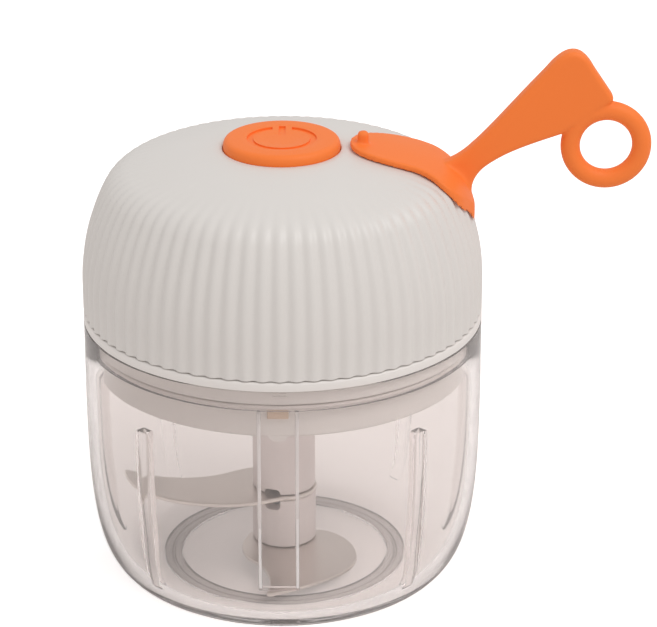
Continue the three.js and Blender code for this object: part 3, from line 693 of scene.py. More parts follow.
@dataclass(frozen=True)
class Bowl:
    """The clear bowl with its stirring ribs, keyway fins and soft foot ring."""

    wall: float = 2.3
    floor: float = 2.9
    base_radius: float = 31
    straight_from: float = 46.4
    rim_inner: float = 44.35
    foot_inner: float = 24.3
    foot_outer: float = 28.7
    foot_depth: float = 1.2
    boss_radius: float = 3.5
    boss_top: float = 5
    pin_hole: float = 2.6
    rib_angles: tuple[float, ...] = (-45, 0, 45, 90, 135, 180, 225)
    rib_half_width: float = 1.6
    rib_depth: float = 2.35
    rib_foot_depth: float = 0.7
    rib_bottom: float = 7
    rib_top: float = 47
    fin_gap: float = 3.7
    fin_width: float = 0.8
    fin_depth: float = 0.92
    fin_bottom: float = 13
    fin_top: float = 57.4
    strip_half: float = 0.3
    strip_thick: float = 0.12
    strip_inset: float = 0.06
    strip_bottom: float = 14
    strip_top: float = 57

    @property
    def inner_radius(self) -> float:
        """Radius of the straight inner wall."""
        return BODY_RADIUS - self.wall

    def outer_curve(self) -> list[Point]:
        """Outer line from the flat base up to the straight wall."""
        lift = 13.1
        corners = [
            (self.base_radius, 0), (43.9, 0), (BODY_RADIUS, lift), (BODY_RADIUS, self.straight_from)
        ]
        return bezier(corners, 22)

    def inner_curve(self) -> list[Point]:
        """Inner line from the straight wall down to the floor."""
        corners = [
            (self.inner_radius, self.straight_from), (self.inner_radius, 14.5),
            (41.6, self.floor), (self.base_radius - 1, self.floor),
        ]
        return bezier(corners, 22)

    def inner_at(self, height: float) -> float:
        """Inner radius at a height.

        Args:
            height: Height above the base, in mm.

        Returns:
            The radius, in mm.
        """
        if height >= self.straight_from:
            return self.inner_radius
        curve = self.inner_curve()
        for (r_high, z_high), (r_low, z_low) in zip(curve, curve[1:]):
            if z_low <= height <= z_high:
                share = (height - z_low) / (z_high - z_low)
                return r_low + (r_high - r_low) * share
        return curve[-1][0]

    def outline(self) -> list[Point]:
        """Section of the shell, from the axis under the floor and back to the axis above it."""
        lip = 0.18
        boss = filleted(
            [(self.boss_radius + 3, self.floor, 0), (self.boss_radius, self.floor, 0.8),
             (self.boss_radius, self.boss_top, 0.4), (self.pin_hole, self.boss_top, 0),
             (self.pin_hole, 0.8, 0), (0, 0.8, 0), (0, 0, 0)]
        )
        foot = [
            (self.foot_inner, 0), (self.foot_inner, self.foot_depth),
            (self.foot_outer, self.foot_depth), (self.foot_outer, 0),
        ]
        rim = filleted(
            [(EDGE_RADIUS, RIM_TOP - 4, 0), (EDGE_RADIUS, RIM_TOP, lip),
             (self.rim_inner, RIM_TOP, lip), (self.rim_inner, LEDGE, 0.4),
             (self.inner_radius, LEDGE, 0.3), (self.inner_radius, LEDGE - 4, 0)]
        )
        return [*foot, *self.outer_curve(), *rim, *self.inner_curve(), *boss]

    def rib(
        self, name: str, half_width: float, bottom: float, top: float, depths: Point, turn: float
    ) -> bpy.types.Object:
        """A rib that follows the inner wall.

        Args:
            name: Its name while it is built.
            half_width: Half of its width round the wall.
            bottom: Height of its lower end.
            top: Height of its upper end.
            depths: How far it stands in from the wall, at the bottom and at the top.
            turn: Angle from +X, in degrees.

        Returns:
            The rib, to be joined to the shell.
        """
        steps = 18
        face, back = [], []
        full_from = 20
        for step in range(steps + 1):
            height = bottom + (top - bottom) * (step / steps) ** 1.4
            share = min(1, (height - bottom) / (full_from - bottom))
            depth = depths[0] + (depths[1] - depths[0]) * share
            wall = self.inner_at(height)
            face.append(Vector((wall - depth, -half_width, height)))
            back.append(Vector((wall + 0.9, -half_width, height)))
        made = extruded(name, face + back[::-1], Vector((0, 2 * half_width, 0)))
        rounding = min(0.45, 0.3 * half_width)
        modify(made, "BEVEL", width=rounding * MM, segments=3, limit_method="ANGLE", angle_limit=0.7)
        made.rotation_euler.z = math.radians(turn)
        settle(made)
        return made

    def shell(self) -> bpy.types.Object:
        """The bowl in one piece."""
        bowl = turned("bowl_shell", self.outline(), steps=144)
        depths = (self.rib_foot_depth, self.rib_depth)
        for angle in self.rib_angles:
            rib = self.rib("rib", self.rib_half_width, self.rib_bottom, self.rib_top, depths, angle)
            combine(bowl, rib, "UNION")
        depths = (self.fin_depth, self.fin_depth)
        for side in (-1, 1):
            fin = self.rib("fin", self.fin_width / 2, self.fin_bottom, self.fin_top, depths, -90)
            fin.location.x = (KEYWAY_X + side * (self.fin_gap + self.fin_width / 2)) * MM
            settle(fin)
            combine(bowl, fin, "UNION")
        reach = self.fin_gap + 0.2
        low = (KEYWAY_X - reach, -42.5, self.fin_bottom)
        combine(bowl, block("bridge", low, (KEYWAY_X + reach, -40.6, 13.9)), "UNION")
        smooth(bowl, 30)
        finish_piece(bowl, CLEAR_BOWL, Slot.CLEAR, Body.BOWL, "bowl")
        return bowl

    def fin_highlights(self) -> None:
        """Opaque pale strips that stand for the light caught by the keyway's two fins."""
        for side, name in ((-1, "keyway_highlight_left"), (1, "keyway_highlight_right")):
            middle = KEYWAY_X + side * (self.fin_gap + self.fin_width / 2)
            front = -math.sqrt((self.inner_radius - self.fin_depth) ** 2 - middle**2) + self.strip_inset
            low = (middle - self.strip_half, front, self.strip_bottom)
            high = (middle + self.strip_half, front + self.strip_thick, self.strip_top)
            edge = block(name, low, high, rounding=0.05)
            smooth(edge)
            finish_piece(edge, FIN_HIGHLIGHT_PAINT, Slot.CLEAR, Body.BOWL, "bowl")

    def foot_ring(self) -> bpy.types.Object:
        """The translucent ring pressed into the groove under the bowl."""
        inner, outer, top = self.foot_inner + 0.2, self.foot_outer - 0.2, self.foot_depth - 0.1
        middle = (inner + outer) / 2
        section = filleted(
            [(inner, 0, 0.4), (middle - 0.5, 0, 0.3), (middle, 0.4, 0.3), (middle + 0.5, 0, 0.3),
             (outer, 0, 0.4), (outer, top, 0.3), (inner, top, 0.3)]
        )
        ring = turned("soft_foot_ring", section)
        smooth(ring)
        return finish_piece(ring, CLEAR_FOOT, Slot.SEAL, Body.BOWL, "foot_ring")

    def build(self) -> None:
        """Make every piece of the bowl."""
        self.shell()
        self.fin_highlights()
        self.foot_ring()


# --------------------------------------------------------------------------- blade hub
@dataclass(frozen=True)
class BladeHub:
    """The lifting hub: three sleeves with two sickle blades clamped between them."""

    radius: float = 7.45
    bore: float = 4.4
    foot_bottom: float = 3.4
    lower_blade: float = 4.8
    upper_blade: float = 18.4
    thick: float = 1
    gap: float = 0.2
    top: float = 51.5
    socket_flats: float = 9
    socket_bottom: float = 41
    pin_room: float = 35.5
    disc: float = 7.7
    notch_x: float = -2.6
    notch_half: float = 1.8
    notch_depth: float = 2.5
    notch_rise: float = 1.3

    def sleeve(self, name: str, bottom: float, top: float, outer: float, bore: float) -> bpy.types.Object:
        """A round sleeve with softened ends."""
        section = filleted([(bore, bottom, 0.2), (outer, bottom, 0.4), (outer, top, 0.4), (bore, top, 0.2)])
        return turned(name, section, steps=96)

    def foot(self) -> None:
        """The collar under the lower blade."""
        foot = self.sleeve(
            "hub_foot_collar", self.foot_bottom, self.lower_blade - self.gap, self.radius, 3.8
        )
        smooth(foot)
        finish_piece(foot, HUB_PLASTIC, Slot.HUB, Body.AGITATOR, "hub_foot")

    def middle(self) -> None:
        """The sleeve between the blades, with its locating notch."""
        bottom = self.lower_blade + self.thick + self.gap
        top = self.upper_blade - self.gap
        sleeve = self.sleeve("hub_middle_sleeve", bottom, top, self.radius, self.bore)
        low = (self.notch_x - self.notch_half, -self.radius - 1, top - self.notch_depth)
        high = (self.notch_x + self.notch_half, -3, top + 3)
        combine(sleeve, block("notch", low, high, rounding=0.9), "DIFFERENCE")
        smooth(sleeve)
        finish_piece(sleeve, HUB_PLASTIC, Slot.HUB, Body.AGITATOR, "hub_lower")

    def head(self) -> None:
        """The tall closed sleeve with the hexagonal drive socket and the notch's upper part."""
        bottom = self.upper_blade + self.thick + self.gap
        radius = self.radius - 0.15
        section = filleted(
            [(0, self.pin_room, 0), (self.bore, self.pin_room, 0.3), (self.bore, bottom, 0.2),
             (radius, bottom, 0.4), (radius, self.top, 0.6), (0, self.top, 0)]
        )
        head = turned("hub_head", section, steps=96)
        deselect_all()
        middle = (self.socket_bottom + self.top + 1) / 2 * MM
        depth = (self.top + 1 - self.socket_bottom) * MM
        bpy.ops.mesh.primitive_cylinder_add(
            vertices=6, radius=self.socket_flats / math.sqrt(3) * MM, depth=depth, location=(0, 0, middle)
        )
        socket = bpy.context.object
        settle(socket)
        combine(head, socket, "DIFFERENCE")
        low = (self.notch_x - self.notch_half, -self.radius - 1, bottom - 3)
        high = (self.notch_x + self.notch_half, -3, bottom + self.notch_rise)
        combine(head, block("notch", low, high, rounding=0.9), "DIFFERENCE")
        smooth(head)
        finish_piece(head, HUB_PLASTIC, Slot.HUB, Body.AGITATOR, "hub_upper")

    def arc(self, start: float, end: float, steps: int = 24) -> list[Point]:
        """Points of the blade's disc between two angles in degrees."""
        points = []
        for step in range(steps + 1):
            angle = math.radians(start + (end - start) * step / steps)
            points.append((self.disc * math.cos(angle), self.disc * math.sin(angle)))
        return points

    def blade(self, name: str, outline: list[Point], bottom: float, node: str) -> None:
        """A blade with ground edges, from its plan outline.

        Args:
            name: The piece's name.
            outline: Plan outline, in mm.
            bottom: Height of its lower face.
            node: The CAD node that it stands for.
        """
        places = [Vector((x, y, bottom)) for x, y in outline]
        blade = extruded(name, places, Vector((0, 0, self.thick)))
        modify(blade, "BEVEL", width=0.3 * MM, segments=2, limit_method="ANGLE", angle_limit=0.9)
        hole = rod("hole", self.bore, bottom - 1, bottom + self.thick + 1)
        combine(blade, hole, "DIFFERENCE")
        smooth(blade, 20)
        finish_piece(blade, BLADE_STEEL, Slot.BLADE, Body.AGITATOR, node)

    def blades(self) -> None:
        """Both sickle blades."""
        upper = self.arc(90, -90)[1:] + chained(
            (0, -7.7),
            (14, (-6, -10.5), (-10, -11.6), (-15.6, -11.3)),
            (14, (-24, -10.8), (-35.6, -6.5), (-38.4, 6.2)),
            (4, (-38.4, 7), (-37.8, 7.2), (-37.2, 6.8)),
            (14, (-31, 3), (-23, 1.2), (-15.6, 4.4)),
            (14, (-11.5, 6.2), (-8, 10.5), (0, 7.7)),
        )
        self.blade("upper_sickle_blade", upper, self.upper_blade, "blade_upper")
        start = self.arc(162, 18)
        lower = start + chained(
            start[-1],
            (14, (13, 2), (17.6, -5), (17, -12.3)),
            (14, (16, -20.5), (6, -26), (-2.6, -29.9)),
            (4, (-3.4, -30), (-3.8, -29.6), (-3.6, -29)),
            (14, (-2, -24), (-3.5, -17), (-7, -13.5)),
            (14, (-11, -9), (-10.5, -3), start[0]),
        )[:-1]
        self.blade("lower_sickle_blade", lower, self.lower_blade, "blade_lower")

    def build(self) -> None:
        """Make every visible piece of the hub."""
        self.foot()
        self.middle()
        self.head()
        self.blades()


# --------------------------------------------------------------------------- lid base
DOME_SCREW_ORBIT = 36
DOME_SCREW_ANGLES = (60, 120, 240, 300)


def at_angle(orbit: float, degrees: float) -> Point:
    """A plan place on a circle, in mm."""
    return orbit * math.cos(math.radians(degrees)), orbit * math.sin(math.radians(degrees))


@dataclass(frozen=True)
class LidBase:
    """The white base of the power head: skirt, deck, collar, edge band and posts."""

    skirt: float = 42
    skirt_wall: float = 1.4
    skirt_bottom: float = 51
    deck_bottom: float = 58
    deck_top: float = 60.4
    collar: float = 44.05
    collar_bottom: float = 59.4
    edge_bottom: float = 63
    edge_top: float = 65
    shaft_hole: float = 6.2
    motor_radius: float = 13.85
    bracket_orbit: float = 19.5
    lug_half: float = 2.3
    lug_bottom: float = 55.6
    lug_depth: float = 0.8

    def outline(self) -> list[Point]:
        """Section of the turned part."""
        inside = self.skirt - self.skirt_wall
        return filleted(
            [(self.shaft_hole, self.deck_bottom, 0.3), (inside, self.deck_bottom, 1),
             (inside, self.skirt_bottom, 0.4), (self.skirt, self.skirt_bottom, 0.6),
             (self.skirt, self.collar_bottom, 0.3), (self.collar, self.collar_bottom, 0.4),
             (self.collar, self.edge_bottom, 0.2), (EDGE_RADIUS, self.edge_bottom, 0.15),
             (EDGE_RADIUS, self.edge_top, 0.5),
             (43.1, self.edge_top, 0.2), (43.1, 67, 0.3), (42, 67, 0.3), (42, self.deck_top, 0.6),
             (self.shaft_hole, self.deck_top, 0.3)]
        )

    def posts(self) -> list[bpy.types.Object]:
        """The posts and seats that stand on the deck."""
        foot = self.deck_top - 1
        seat = turned(
            "seat",
            [(self.motor_radius + 0.3, foot), (self.motor_radius + 1.7, foot),
             (self.motor_radius + 1.7, 68), (self.motor_radius + 0.3, 68)],
            steps=96,
        )
        made = [seat, block("port_post", (30.6, -5, foot), (34.4, 5, 87), rounding=0.4)]
        for side in (-1, 1):
            made.append(rod("bracket_post", 3, foot, 83.7, (0, side * self.bracket_orbit)))
        for angle in DOME_SCREW_ANGLES:
            made.append(rod("dome_post", 3.2, foot, 67.2, at_angle(DOME_SCREW_ORBIT, angle)))
        return made

    def holes(self) -> list[bpy.types.Object]:
        """The screw holes."""
        made = [rod("port_hole", 1.1, 80, 88, (32.5, 0))]
        for side in (-1, 1):
            made.append(rod("bracket_hole", 1.4, 72, 85, (0, side * self.bracket_orbit)))
        for angle in DOME_SCREW_ANGLES:
            place = at_angle(DOME_SCREW_ORBIT, angle)
            made.append(rod("shank_hole", 1.55, self.deck_bottom - 1, 68.2, place))
            made.append(rod("head_hole", 3.05, self.deck_bottom - 1, self.deck_bottom + 1.2, place))
        return made

    def base(self) -> None:
        """The lid base in one piece."""
        base = turned("lid_base_moulding", self.outline(), steps=144)
        for post in self.posts():
            combine(base, post, "UNION")
        for hole in self.holes():
            combine(base, hole, "DIFFERENCE")
        low = (KEYWAY_X - self.lug_half, -self.skirt - self.lug_depth, self.lug_bottom)
        high = (KEYWAY_X + self.lug_half, -self.skirt + 0.7, self.deck_bottom + 0.3)
        combine(base, block("lug", low, high, rounding=0.25), "UNION")
        nib = rod("nib", 2.4, -0.6, 0.6)
        nib.rotation_euler.x = math.radians(90)
        nib.location = (KEYWAY_X * MM, (0.7 - self.skirt) * MM, (self.skirt_bottom + 1.2) * MM)
        settle(nib)
        combine(base, nib, "UNION")
        mark = block("mark", (-1.5, -self.collar - 0.12, 61), (1.5, -self.collar + 0.5, 61.5), rounding=0.1)
        combine(base, mark, "UNION")
        smooth(base, 30)
        finish_piece(base, LID_PLASTIC_PAINTED_LIGHT, Slot.WHITE, Body.LID, "lid_base")
        paint_where(base, LUG_PLASTIC, self.on_lug)

    def on_lug(self, place: Vector) -> bool:
        """Whether a place, in mm, is on the key lug."""
        beside = abs(place.x - KEYWAY_X) < self.lug_half + 0.1
        return beside and place.y < -self.skirt - 0.1 and self.lug_bottom - 0.1 < place.z < self.deck_bottom

    def seals(self) -> None:
        """The lid's rim seal and the shaft's lip seal."""
        rim = turned(
            "rim_seal",
            filleted([(42.3, 58.1, 0.3), (43.85, 58.1, 0.4), (43.85, 59.1, 0.4), (42.3, 59.1, 0.3)]),
        )
        smooth(rim)
        finish_piece(rim, SEAL_SILICONE, Slot.SEAL, Body.LID, "lid_seal")
        lip = turned(
            "shaft_lip_seal",
            filleted([(4.6, 58.2, 0.2), (6, 58.2, 0.3), (6, 60.2, 0.3), (5.3, 60.2, 0.2), (4.6, 59, 0.3)]),
            steps=64,
        )
        smooth(lip)
        finish_piece(lip, SEAL_SILICONE, Slot.SEAL, Body.LID, "shaft_seal")

    def build(self) -> None:
        """Make every piece of the lid base."""
        self.base()
        self.seals()


# --------------------------------------------------------------------------- dome
@dataclass(frozen=True)
class Dome:
    """The reeded dome with its button hole and charging pocket."""

    bottom: float = 65.3
    wall: float = 2.1
    side_x: float = -2
    side_z: float = 71.9
    side_radius: float = 47.5
    crown_z: float = -14.45
    crown_radius: float = 118
    shoulder_radius: float = 9
    hole: float = 13.25
    reeds: int = 76
    reed_steps: int = 8
    reed_depth: float = 0.62
    fade_from: float = 26
    fade_to: float = 42
    pocket: tuple[float, float] = (24.2, 31.8)
    pocket_half: float = 6.8
    pocket_floor: float = 96.7
    boss_bottom: float = 67.5
    boss_top: float = 78

    def line(self, offset: float, crown_end: float, steps: tuple[int, int, int]) -> list[Point]:
        """Line of the dome from its foot to a radius on the crown.

        Args:
            offset: How far the line is moved outwards, in mm.
            crown_end: Radius where it ends.
            steps: Segments on the side, the shoulder and the crown.

        Returns:
            Its points, in mm.
        """
        reach = self.side_radius - self.shoulder_radius
        crown_reach = self.crown_radius - self.shoulder_radius
        dx, dz = -self.side_x, self.crown_z - self.side_z
        apart = math.hypot(dx, dz)
        along = (reach**2 - crown_reach**2 + apart**2) / (2 * apart)
        across = math.sqrt(reach**2 - along**2)
        x = self.side_x + (along * dx - across * dz) / apart
        z = self.side_z + (along * dz + across * dx) / apart
        side_end = math.atan2(z - self.side_z, x - self.side_x)
        crown_start = math.atan2(z - self.crown_z, x)
        crown_stop = math.acos(crown_end / (self.crown_radius + offset))
        arcs = [
            (self.side_x, self.side_z, self.side_radius, 0, side_end, steps[0]),
            (x, z, self.shoulder_radius, side_end, crown_start, steps[1]),
            (0, self.crown_z, self.crown_radius, crown_start, crown_stop, steps[2]),
        ]
        points: list[Point] = []
        for middle_x, middle_z, radius, start, end, count in arcs:
            for step in range(0 if not points else 1, count + 1):
                angle = start + (end - start) * step / count
                reach = radius + offset
                points.append((middle_x + reach * math.cos(angle), middle_z + reach * math.sin(angle)))
        return points

    def fill(self, name: str, offset: float) -> bpy.types.Object:
        """Everything inside the dome's face moved outwards by an offset."""
        line = self.line(offset, 0, (18, 10, 24))
        outline = [(0, self.bottom), (line[0][0], self.bottom), *line[:-1], (0, line[-1][1])]
        return turned(name, outline, steps=144)

    def reed(self, shell: bpy.types.Object) -> None:
        """Press the reeds into the outer face, fading out on the crown."""
        outer = self.wall / 2
        for vertex in shell.data.vertices:
            x, y, z = vertex.co / MM
            radius = math.hypot(x, y)
            if self.side_distance(radius, z) < -outer:
                continue
            phase = (math.atan2(y, x) + math.pi / 2) * self.reeds / math.tau
            share = abs(phase - round(phase)) * 2
            hollow = 0.5 - 0.5 * math.cos(math.pi * share**1.15)
            fade = min(1, max(0, (radius - self.fade_from) / (self.fade_to - self.fade_from)))
            fade = fade * fade * (3 - 2 * fade)
            shift = self.reed_depth * hollow * fade / radius
            vertex.co.x -= x * shift * MM
            vertex.co.y -= y * shift * MM

    def side_distance(self, radius: float, height: float) -> float:
        """How far a point lies outside the dome's face, negative inside it."""
        side = math.hypot(radius - self.side_x, height - self.side_z) - self.side_radius
        crown = math.hypot(radius, height - self.crown_z) - self.crown_radius
        return -self.wall if height < self.bottom + 0.01 and side < -0.5 else max(side, crown)

    def bosses(self, shell: bpy.types.Object) -> None:
        """Join the screw bosses and the pocket's lining to the shell."""
        lining = 1.3
        low = (self.pocket[0] - lining, -self.pocket_half - lining, 95.5)
        high = (self.pocket[1] + lining, self.pocket_half + lining, 104)
        box = block("lining", low, high)
        combine(box, self.fill("fill", -0.8), "INTERSECT")
        combine(shell, box, "UNION")
        low, high = (DOME_SCREW_ORBIT, -1, self.boss_bottom), (43.4, 1, self.boss_top)
        for angle in DOME_SCREW_ANGLES:
            place = at_angle(DOME_SCREW_ORBIT, angle)
            boss = rod("boss", 3.2, self.boss_bottom, self.boss_top, place)
            combine(boss, block("web", low, high, turn=angle), "UNION")
            combine(shell, boss, "UNION")
            combine(shell, rod("hole", 1.35, 66, 77, place), "DIFFERENCE")

    def openings(self, shell: bpy.types.Object) -> None:
        """Cut the charging pocket, the socket's mouth and the strap stud's hole."""
        low = (self.pocket[0], -self.pocket_half, self.pocket_floor)
        high = (self.pocket[1], self.pocket_half, 106)
        combine(shell, block("pocket", low, high, rounding=1), "DIFFERENCE")
        combine(shell, block("mouth", (26.1, -4.85, 90), (29.9, 4.85, 99), rounding=1), "DIFFERENCE")
        stud = rod("stud", 1.9, self.side_radius - 8, self.side_radius + 3)
        stud.rotation_euler.y = math.radians(65)
        stud.location = (self.side_x * MM, 0, self.side_z * MM)
        settle(stud)
        combine(shell, stud, "DIFFERENCE")

    def build(self) -> None:
        """Make the dome."""
        outer = self.line(0, self.hole + 0.5, (22, 12, 16))
        inner = self.line(-self.wall, self.hole, (10, 6, 6))[::-1]
        foot_in = (inner[-1][0], self.bottom)
        foot_out = (outer[0][0], self.bottom)
        lip = outer[-1][1]
        hole = [(self.hole + 0.15, lip - 0.12), (self.hole, lip - 0.45)]
        outline = [foot_out, *outer, *hole, *inner, foot_in]
        shell = turned("reeded_dome", outline, steps=self.reeds * self.reed_steps)
        self.reed(shell)
        self.bosses(shell)
        self.openings(shell)
        smooth(shell, 40)
        finish_piece(shell, WHITE_SHELL, Slot.WHITE, Body.LID, "dome_shell")


# --------------------------------------------------------------------------- button
@dataclass(frozen=True)
class Button:
    """The soft orange button with an engraved standby symbol, and its return spring."""

    radius: float = 13.15
    flange: float = 14.7
    bottom: float = 99.6
    top: float = 104.9
    stem_bottom: float = 99.3
    dish: float = 0.35
    symbol_radius: float = 7.1
    symbol_width: float = 1.5
    symbol_depth: float = 0.16
    spring_radius: float = 6.4
    spring_wire: float = 0.4
    spring_turns: int = 3
    spring_bottom: float = 95.7
    spring_top: float = 102.5

    def symbol(self) -> list[bpy.types.Object]:
        """Cutters for the open ring and the bar of the standby symbol."""
        low, high = self.top - self.dish - self.symbol_depth, self.top + 1
        inner, outer = self.symbol_radius - self.symbol_width / 2, self.symbol_radius + self.symbol_width / 2
        ring = turned("ring", [(inner, low), (outer, low), (outer, high), (inner, high)], steps=96)
        gap = block("gap", (-2.2, 0, low - 1), (2.2, 12, high + 1))
        combine(ring, gap, "DIFFERENCE")
        half = self.symbol_width / 2
        bar = block("bar", (-half, self.symbol_radius - 4.6, low), (half, self.symbol_radius + 1, high))
        return [ring, bar]

    def build(self) -> None:
        """Make the button and its spring."""
        lid = self.top - 1.9
        inside = self.radius - 1.8
        shoulder = self.bottom + 0.8
        section = filleted(
            [(0, self.stem_bottom, 0), (2.2, self.stem_bottom, 0.2), (2.2, lid, 0.5), (inside, lid, 0.5),
             (inside, self.bottom, 0.2), (self.flange, self.bottom, 0.2), (self.flange, shoulder, 0.2),
             (self.radius, shoulder, 0.2), (self.radius, self.top, 1.7), (9, self.top, 3),
             (3.5, self.top - self.dish, 6), (0, self.top - self.dish, 0)],
            steps=6,
        )
        cap = turned("soft_button", section, steps=144)
        for cutter in self.symbol():
            combine(cap, cutter, "DIFFERENCE")
        smooth(cap, 35)
        finish_piece(cap, ORANGE_SILICONE, Slot.ORANGE, Body.BUTTON, "button_cap")
        self.spring()

    def spring(self) -> None:
        """The return spring between the board and the cap."""
        curve = bpy.data.curves.new("return_spring", "CURVE")
        curve.dimensions = "3D"
        curve.bevel_depth = self.spring_wire * MM
        curve.bevel_resolution = 3
        curve.use_fill_caps = True
        line = curve.splines.new("POLY")
        steps = self.spring_turns * 24
        line.points.add(steps)
        for step, point in enumerate(line.points):
            angle = math.tau * self.spring_turns * step / steps
            height = self.spring_bottom + (self.spring_top - self.spring_bottom) * step / steps
            x, y = self.spring_radius * math.cos(angle), self.spring_radius * math.sin(angle)
            point.co = (x * MM, y * MM, height * MM, 1)
        made = bpy.data.objects.new("return_spring", curve)
        bpy.context.collection.objects.link(made)
        activate(made)
        bpy.ops.object.convert(target="MESH")
        spring = bpy.context.object
        smooth(spring, 40)
        finish_piece(spring, TURNED_STEEL, Slot.PIN, None, "button_spring")
        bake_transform(spring)


# --------------------------------------------------------------------------- strap
@dataclass(frozen=True)
class Strap:
    """The silicone moulding: port cover, root, free arm, paddle and finger ring."""

    dome: Dome
    gap: float = 0.2
    thick: float = 1.35
    half_width: float = 2.3
    split_x: float = 36.45
    root_x: float = 42
    root_z: float = 97.5
    root_reach: float = 6
    cover_x: float = 33.2
    cover_z: float = 100.6
    flex_x: float = 42.6
    flex_z: float = 98.8
    loop_x: float = 72.5
    loop_z: float = 103.3
    loop_middle: float = 8
    loop_bar: float = 2.2
    voxel: float = 0.32

    def leaf(self) -> list[Point]:
        """Plan outline of the silicone where it lies on the dome."""
        return chained(
            (15.3, 0),
            (12, (15.3, -7), (22, -8.3), (29, -8.8)),
            (12, (33, -9.5), (34, -13), (36.6, -13)),
            (12, (40.5, -12.5), (41, -8), (42.7, -5.4)),
            (12, (43.6, -4.2), (43.6, -1), (42.4, 1.5)),
            (12, (40.5, 6), (37, 11), (31, 12)),
            (12, (24, 12.5), (15.3, 9), (15.3, 0)),
        )

    def arm_outline(self) -> list[Point]:
        """Side outline of the free arm and its paddle."""
        top = bezier([(34.6, 99), (41.6, 100.2), (46, 107.4), (58.5, 121)], 18)
        nose = bezier([(58.5, 121), (62.8, 126.7), (66.4, 126.8), (69.3, 121.3)], 10)[1:]
        under = bezier([(62.7, 106.3), (55, 103.5), (42.4, 100), (42.6, 92.5)], 14)
        return [*top, *nose, (74.1, 114.2), *under, (43.6, 88), (37, 90)]

    def sheet(self) -> bpy.types.Object:
        """The sheet that follows the dome, cut to the leaf outline."""
        sheet = self.dome.fill("sheet", self.gap + self.thick)
        combine(sheet, self.dome.fill("core", self.gap), "DIFFERENCE")
        places = [Vector((x, y, 80)) for x, y in self.leaf()]
        combine(sheet, extruded("leaf", places, Vector((0, 0, 30))), "INTERSECT")
        return sheet

    def arm(self) -> bpy.types.Object:
        """The arm and paddle with their rounded edges, clear of the dome."""
        places = [Vector((x, -self.half_width, z)) for x, z in self.arm_outline()]
        arm = extruded("arm", places, Vector((0, 2 * self.half_width, 0)))
        modify(arm, "BEVEL", width=1.6 * MM, segments=4, limit_method="ANGLE", angle_limit=1)
        combine(arm, self.dome.fill("core", self.gap), "DIFFERENCE")
        return arm

    def ring(self) -> bpy.types.Object:
        """The finger ring."""
        deselect_all()
        bpy.ops.mesh.primitive_torus_add(
            major_segments=96,
            minor_segments=32,
            major_radius=self.loop_middle * MM,
            minor_radius=self.loop_bar * MM,
            rotation=(math.pi / 2, 0, 0),
            location=(self.loop_x * MM, 0, self.loop_z * MM),
        )
        ring = bpy.context.object
        settle(ring)
        return ring

    def tab(self) -> bpy.types.Object:
        """The small pull tab that stands up at the tip."""
        return block("tab", (16.9, -1.5, 102.2), (19.5, 1.1, 106.6), rounding=1)

    def moulding(self) -> bpy.types.Object:
        """The whole strap as one smooth body."""
        whole = self.sheet()
        plug = block("plug", (25.5, -5.6, 97.5), (30.5, 5.6, 101.2), rounding=0.6)
        for part in (self.tab(), plug, self.arm(), self.ring()):
            combine(whole, part, "UNION")
        modify(whole, "REMESH", mode="VOXEL", voxel_size=self.voxel * MM)
        modify(whole, "SMOOTH", factor=0.5, iterations=6)
        root = whole.vertex_groups.new(name="root")
        centre = Vector((self.root_x, 0, self.root_z)) * MM
        for vertex in whole.data.vertices:
            share = 1 - (vertex.co - centre).length / (self.root_reach * MM)
            if share > 0:
                root.add([vertex.index], min(1, 2 * share), "REPLACE")
        modify(whole, "SMOOTH", factor=0.5, iterations=50, vertex_group="root")
        smooth(whole, 60)
        return whole

    def half(self, whole: bpy.types.Object, name: str, outside: bool) -> bpy.types.Object:
        """One side of the moulding, cut at the root.

        Args:
            whole: The moulding, which is left as it is.
            name: The new piece's name.
            outside: True for the arm's side, False for the cover's side.

        Returns:
            The closed half.
        """
        piece = whole.copy()
        piece.data = whole.data.copy()
        piece.name = name
        bpy.context.collection.objects.link(piece)
        cut = {
            "plane_co": (self.split_x * MM, 0, 0),
            "plane_no": (1, 0, 0),
            "use_fill": True,
            "clear_inner": outside,
            "clear_outer": not outside,
        }
        edit(piece, lambda: bpy.ops.mesh.bisect(**cut))
        smooth(piece, 60)
        modify(
            piece,
            "DATA_TRANSFER",
            object=whole,
            use_loop_data=True,
            data_types_loops={"CUSTOM_NORMAL"},
            loop_mapping="POLYINTERP_NEAREST",
        )
        return piece

    def build(self) -> None:
        """Make both halves of the strap."""
        whole = self.moulding()
        cover = self.half(whole, "port_cover_tongue", outside=False)
        finish_piece(cover, ORANGE_SILICONE, Slot.ORANGE, None, "port_cover")
        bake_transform(cover)
        arm = self.half(whole, "strap_arm_and_ring", outside=True)
        finish_piece(arm, ORANGE_SILICONE, Slot.ORANGE, None, "strap_anchor", "carry_strap")
        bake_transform(arm)
        bpy.data.objects.remove(whole, do_unlink=True)


